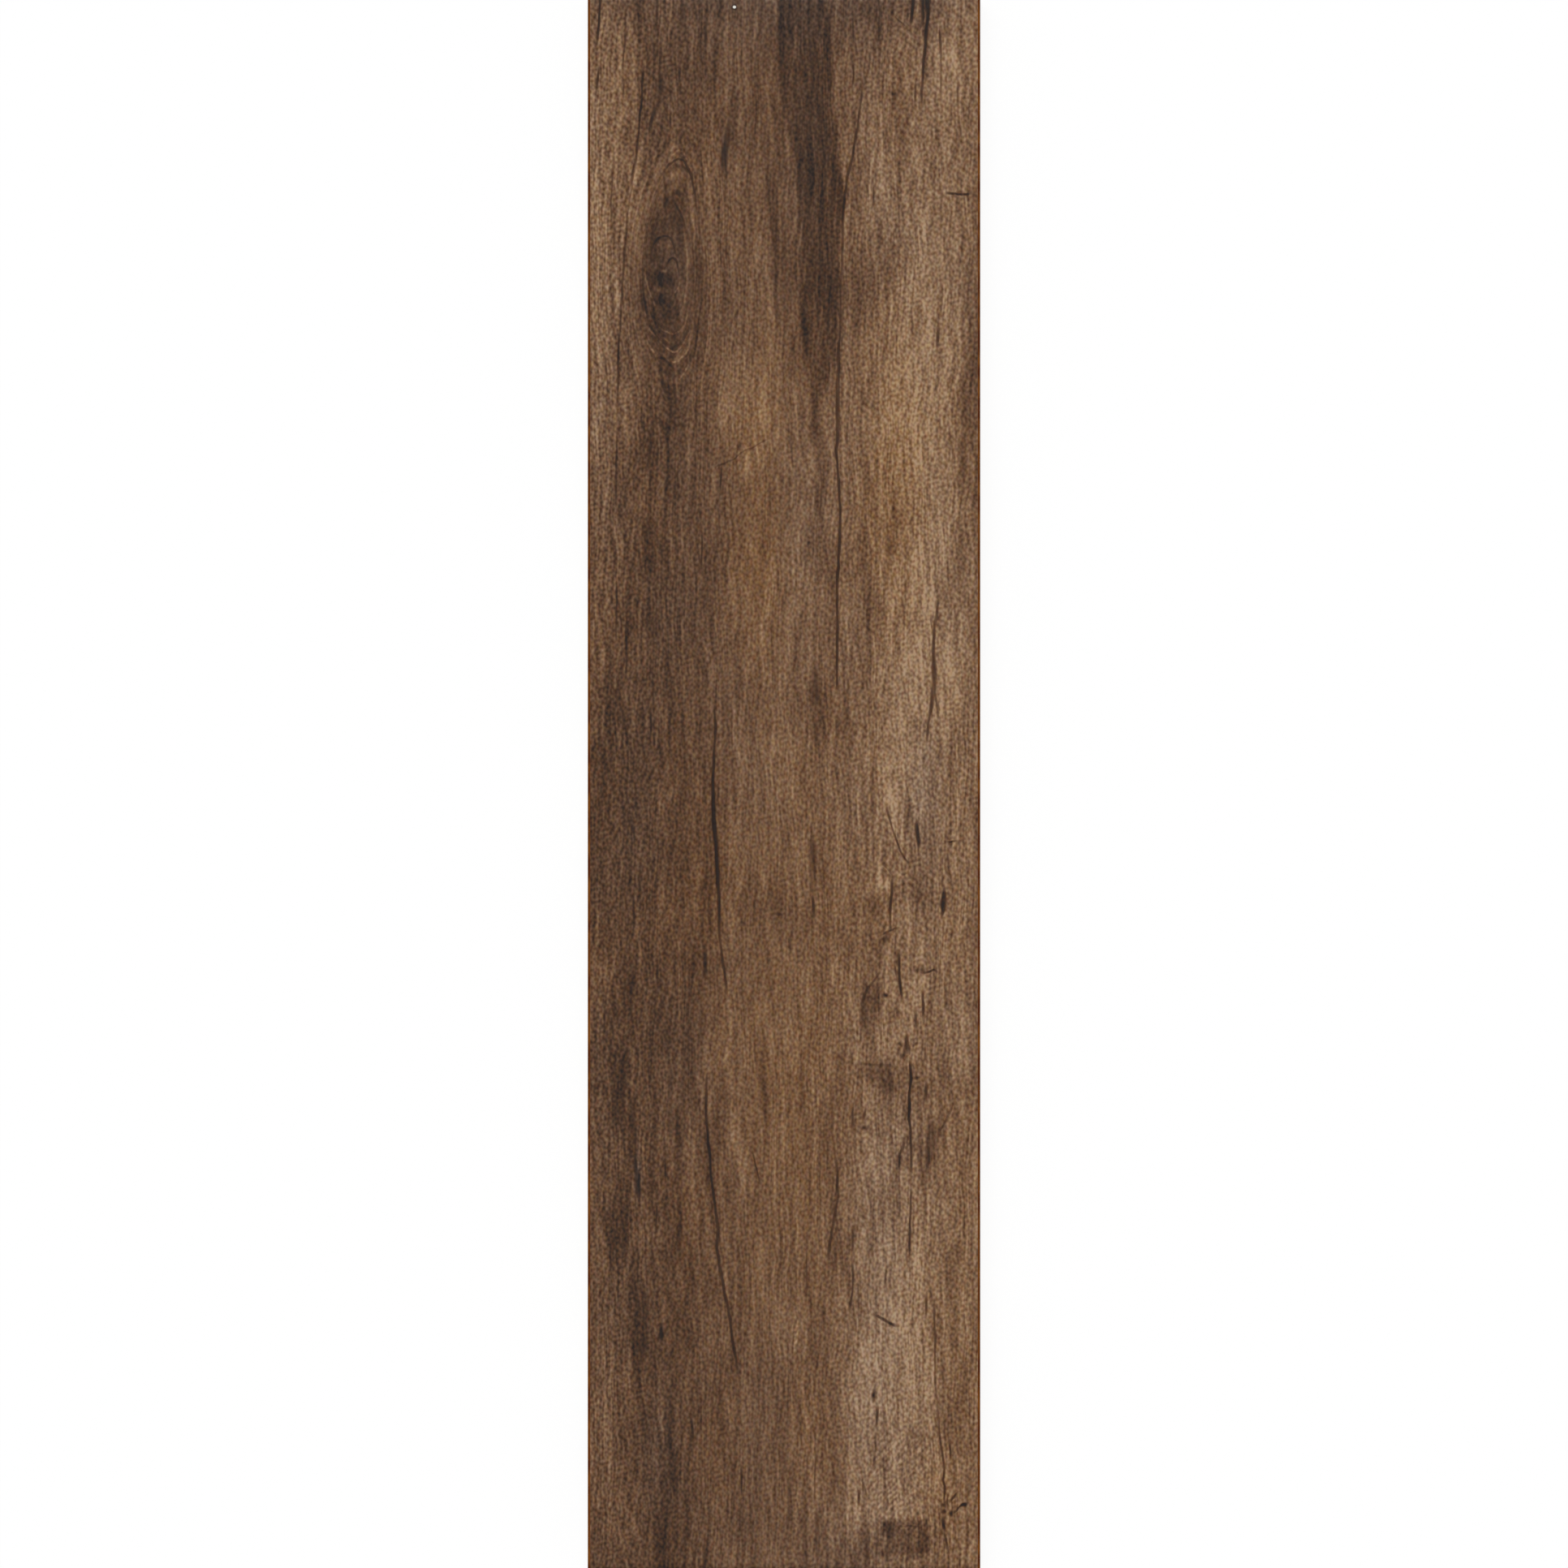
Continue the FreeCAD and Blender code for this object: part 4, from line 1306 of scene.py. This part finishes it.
def emboss(desk, position, column, row, drift, value):
    """How far the face lies below its top: grain, gentle swells and splits, gone at the rim."""
    flow = desk.combine(column + drift, row, 1.0)
    swell = desk.noise(flow, SWELL) + 0.5
    grain = desk.noise(flow, PRESSED_GRAIN) + 0.5
    depth = (swell + grain) * value("Grain Depth")
    for string in strung(SPLITS.values()):
        share = line_tone(desk, column, row, string) * (-1 / SPLIT_TONE)
        depth = depth + share * value("Split Depth")
    x, y, _ = desk.separate(position)
    aside = desk.math("MINIMUM", value("Face Width") / 2 - abs(x), value("Face Length") / 2 - abs(y))
    return depth * desk.ramp(aside, 0.0, EMBOSS_RIM, shape="SMOOTHSTEP")


def pocket(desk, mouth, value, sizes):
    """One pocket of the back: drafted walls, a rounded foot and a floor, open at the mouth."""
    draft = math.tan(math.radians(sizes.key_draft))
    size_x = value("Key Pitch Across") - value("Key Rib")
    size_y = value("Key Pitch Along") - value("Key Rib")
    shape = mouth
    top = None
    for share_up, share_in in POCKET_STEPS:
        sockets = {"Mesh": shape, "Offset Scale": 0.0, "Individual": False}
        if top is not None:
            sockets["Selection"] = top
        extruded = desk.node("GeometryNodeExtrudeMesh", {"mode": "FACES"}, sockets)
        top = extruded.outputs["Top"]
        inset = value("Key Depth") * (2 * draft * share_in)
        corner = desk.node("GeometryNodeInputPosition").outputs[0]
        side_x, side_y, _ = [desk.math("SIGN", part) for part in desk.separate(corner)]
        place = desk.combine(
            side_x * (size_x - inset) / 2, side_y * (size_y - inset) / 2, value("Key Depth") * share_up)
        shape = desk.node("GeometryNodeSetPosition", None, {
            "Geometry": extruded.outputs["Mesh"], "Selection": top, "Position": place}).outputs[0]
    return desk.node("GeometryNodeFlipFaces", None, {"Mesh": shape}).outputs[0]


def press_tile(sizes, glaze, body):
    """The finished tile as one plain mesh object, checked to be closed."""
    tile = bpy.data.objects.new("glazed_plank", bpy.data.meshes.new("glazed_plank"))
    bpy.context.scene.collection.objects.link(tile)
    tree, given = press_tree(sizes, glaze, body)
    press = tile.modifiers.new("press", "NODES")
    press.node_group = tree
    for identifier, setting in given.items():
        press[identifier] = setting
    depsgraph = bpy.context.evaluated_depsgraph_get()
    mesh = bpy.data.meshes.new_from_object(tile.evaluated_get(depsgraph), depsgraph=depsgraph)
    tile.modifiers.remove(press)
    tile.data = mesh
    mesh.set_sharp_from_angle(angle=math.radians(sizes.crease_angle))

    check = bmesh.new()
    check.from_mesh(mesh)
    open_edges = sum(not edge.is_manifold for edge in check.edges)
    check.free()
    triangles = sum(len(face.vertices) - 2 for face in mesh.polygons)
    print(f"glazed_plank: {len(mesh.vertices)} points, {triangles} triangles, {open_edges} open edges")
    if open_edges or not triangles:
        raise RuntimeError("the pressed tile isn't closed")
    return tile


# Stage

def show_white(desk):
    """One for a ray that shows the background itself: seen, reflected or refracted."""
    path = desk.node("ShaderNodeLightPath").outputs
    seen = desk.math("MAXIMUM", path["Is Camera Ray"], path["Is Glossy Ray"])
    return desk.math("MAXIMUM", seen, path["Is Transmission Ray"])


def lay_floor(stage):
    """A wide white floor that keeps the tile's shadow."""
    half = stage.floor_size / 2
    corners = [(-half, -half), (half, -half), (half, half), (-half, half)]
    mesh = bpy.data.meshes.new("floor")
    mesh.from_pydata([(x, y, -stage.floor_gap) for x, y in corners], [], [(0, 1, 2, 3)])
    floor = bpy.data.objects.new("floor", mesh)
    bpy.context.scene.collection.objects.link(floor)
    material, desk, output = new_material("floor_white")
    paper = desk.node("ShaderNodeBsdfDiffuse", None, {"Color": rgba(stage.floor_colour)})
    white = desk.node("ShaderNodeEmission", None, {"Color": (1, 1, 1, 1), "Strength": 1.0})
    shown = desk.node("ShaderNodeMixShader", None, {
        0: show_white(desk) * (1 - stage.shadow), 1: paper.outputs[0], 2: white.outputs[0]})
    desk.feed(output.inputs["Surface"], shown.outputs[0])
    mesh.materials.append(material)


def light_world(stage):
    """Even light from all round, with white where the background shows."""
    world = bpy.data.worlds.new("studio")
    world.use_nodes = True
    world.node_tree.nodes.clear()
    desk = NodeDesk(world.node_tree)
    light = desk.node("ShaderNodeBackground", None, {"Color": (1, 1, 1, 1), "Strength": stage.fill})
    white = desk.node("ShaderNodeBackground", None, {"Color": (1, 1, 1, 1), "Strength": 1.0})
    both = desk.node("ShaderNodeMixShader", None, {
        0: show_white(desk), 1: light.outputs[0], 2: white.outputs[0]})
    desk.node("ShaderNodeOutputWorld", None, {"Surface": both.outputs[0]})
    bpy.context.scene.world = world


def hang_key_light(stage):
    """A soft key light from beyond the far end."""
    lamp = bpy.data.lights.new("key", "SUN")
    lamp.energy = stage.key
    lamp.angle = stage.key_spread
    key = bpy.data.objects.new("key", lamp)
    bpy.context.scene.collection.objects.link(key)
    tilt = stage.key_tilt
    towards_lamp = Vector((-stage.key_lean, math.sin(tilt), math.cos(tilt)))
    key.rotation_mode = "QUATERNION"
    key.rotation_quaternion = towards_lamp.to_track_quat("Z", "Y")


def stand_camera(stage):
    """A long lens straight above the tile: the face's length fills the picture."""
    lens = bpy.data.cameras.new("camera")
    lens.lens = stage.lens
    camera = bpy.data.objects.new("camera", lens)
    bpy.context.scene.collection.objects.link(camera)
    distance = TILE_LENGTH * stage.lens / lens.sensor_width * (1 - stage.overfill)
    camera.location = (0, 0, TILE_THICKNESS + distance)
    lens.clip_end = 4 * distance
    bpy.context.scene.camera = camera


# Add-on

def colour_property(name, description, default):
    return FloatVectorProperty(
        name=name, description=description, default=default, subtype="COLOR", size=3, min=0, max=1)


def length_property(name, description, default):
    return FloatProperty(name=name, description=description, default=default, unit="LENGTH", precision=5)


class PlankSizes(PropertyGroup):
    """Sizes of the pressed tile."""

    width: length_property("Width", "Across the grain", TILE_WIDTH)
    length: length_property("Length", "Along the grain", TILE_LENGTH)
    thickness: length_property("Thickness", "From the back's ribs to the face", TILE_THICKNESS)
    arris_radius: length_property("Arris radius", "Round from face to wall", 0.8 * MILLIMETRE)
    foot_bevel: length_property("Foot bevel", "Bevel from wall to back", 1.0 * MILLIMETRE)
    key_depth: length_property("Key depth", "Depth of the back's pockets", 0.7 * MILLIMETRE)
    key_pitch: length_property("Key pitch", "Aimed spacing of the pockets", 14 * MILLIMETRE)
    key_rib: length_property("Key rib", "Width of the ribs between pockets", 3 * MILLIMETRE)
    key_border: length_property("Key border", "Plain border round the pockets", 5 * MILLIMETRE)
    key_draft: FloatProperty(name="Key draft", description="Slope of the pocket walls, degrees", default=35)
    grain_depth: length_property("Grain depth", "Depth of the embossed grain", 0.07 * MILLIMETRE)
    split_depth: length_property("Split depth", "Depth of the embossed splits", 0.3 * MILLIMETRE)
    weld: length_property("Weld", "Points closer than this become one", 0.004 * MILLIMETRE)
    rim_slack: length_property("Rim slack", "How near the rim a point counts as on it", 0.1 * MILLIMETRE)
    crease_angle: FloatProperty(name="Crease", description="Edges sharper than this, degrees", default=40)
    face_columns: IntProperty(name="Face columns", description="Points across the face", default=420)
    face_rows: IntProperty(name="Face rows", description="Points along the face", default=180)
    arris_steps: IntProperty(name="Arris steps", description="Facets round the arris", default=4)
    wall_steps: IntProperty(name="Wall steps", description="Facets down the wall", default=2)


class PlankColours(PropertyGroup):
    """Colours of the print, the glaze and the body."""

    darkest: colour_property("Darkest", "Splits and deep grain", (0.010, 0.004, 0.002))
    dark: colour_property("Dark", "Dark heartwood", (0.049, 0.020, 0.007))
    brown: colour_property("Brown", "Mid brown", (0.106, 0.050, 0.023))
    tan: colour_property("Tan", "Light brown", (0.180, 0.096, 0.048))
    pale: colour_property("Pale", "Pale sapwood", (0.272, 0.162, 0.088))
    palest: colour_property("Palest", "Palest flecks", (0.380, 0.244, 0.142))
    # Edge colour: the glaze run over the walls' tops, and the painted shade on the long sides' arris
    edge: colour_property("Edge", "Burnt glaze on the arris and the walls' tops", (0.165, 0.050, 0.006))
    # The darker, redder patches of that painted shade on the long sides' arris
    painted_side_shade_dark: colour_property("Dark edge", "Redder patches of that glaze", (0.078, 0.016, 0.003))
    ground: colour_property("Ground", "Pale ground under the glaze", (0.70, 0.68, 0.62))
    body: colour_property("Body", "Fired body", (0.56, 0.49, 0.40))
    body_dark: colour_property("Dark body", "Shaded patches of the body", (0.40, 0.33, 0.26))


class StageSettings(PropertyGroup):
    """Floor, light and camera."""

    floor_size: length_property("Floor", "Side of the floor", 40.0)
    floor_gap: length_property("Floor gap", "Room between floor and tile", 0.05 * MILLIMETRE)
    floor_colour: colour_property("Floor colour", "Colour of the floor", (0.985, 0.985, 0.985))
    shadow: FloatProperty(name="Shadow", description="Share of the floor that is shaded", default=0.12)
    fill: FloatProperty(name="Fill", description="Light from all round", default=0.62)
    key: FloatProperty(name="Key", description="Strength of the key light", default=1.7)
    key_spread: FloatProperty(
        name="Key spread", description="Size of the key light", default=math.radians(60), unit="ROTATION")
    key_tilt: FloatProperty(
        name="Key tilt", description="Tilt from straight above", default=math.radians(42), unit="ROTATION")
    key_lean: FloatProperty(name="Key lean", description="Lean of the key light to the left", default=0.15)
    lens: FloatProperty(name="Lens", description="Focal length, millimetres", default=200)
    overfill: FloatProperty(
        name="Overfill", description="Share of the face's length that runs out of the picture",
        default=0.0014)


class PLANK_OT_press_tile(Operator):
    """Press, print and glaze the tile."""

    bl_idname = "plank.press_tile"
    bl_label = "Press Tile"

    def execute(self, context):
        sizes = context.scene.plank_sizes
        colours = context.scene.plank_colours
        tile = press_tile(sizes, printed_glaze(colours), porcelain_body(colours, sizes))
        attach(tile, BODY)
        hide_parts(NODE)
        return {"FINISHED"}


class PLANK_OT_set_stage(Operator):
    """Lay the floor, light it and stand the camera over the tile."""

    bl_idname = "plank.set_stage"
    bl_label = "Set Stage"

    def execute(self, context):
        stage = context.scene.plank_stage
        context.scene.view_settings.view_transform = "Standard"
        lay_floor(stage)
        light_world(stage)
        hang_key_light(stage)
        stand_camera(stage)
        return {"FINISHED"}


class VIEW3D_PT_plank(Panel):
    """Sizes, colours and the two steps, in the sidebar."""

    bl_label = "Plank Tile"
    bl_category = "Plank"
    bl_space_type = "VIEW_3D"
    bl_region_type = "UI"

    def draw(self, context):
        scene = context.scene
        steps = {
            PLANK_OT_press_tile: (scene.plank_sizes, scene.plank_colours),
            PLANK_OT_set_stage: (scene.plank_stage,),
        }
        for operator, groups in steps.items():
            for group in groups:
                box = self.layout.box()
                for name in group.bl_rna.properties.keys():
                    if name not in {"rna_type", "name"}:
                        box.prop(group, name)
            self.layout.operator(operator.bl_idname)


CLASSES = (
    PlankSizes, PlankColours, StageSettings, PLANK_OT_press_tile, PLANK_OT_set_stage, VIEW3D_PT_plank)


def register():
    for cls in CLASSES:
        bpy.utils.register_class(cls)
    bpy.types.Scene.plank_sizes = PointerProperty(type=PlankSizes)
    bpy.types.Scene.plank_colours = PointerProperty(type=PlankColours)
    bpy.types.Scene.plank_stage = PointerProperty(type=StageSettings)


def unregister():
    del bpy.types.Scene.plank_stage
    del bpy.types.Scene.plank_colours
    del bpy.types.Scene.plank_sizes
    for cls in reversed(CLASSES):
        bpy.utils.unregister_class(cls)


def main():
    register()
    bpy.ops.plank.press_tile()
    bpy.ops.plank.set_stage()


if __name__ == "__main__":
    main()
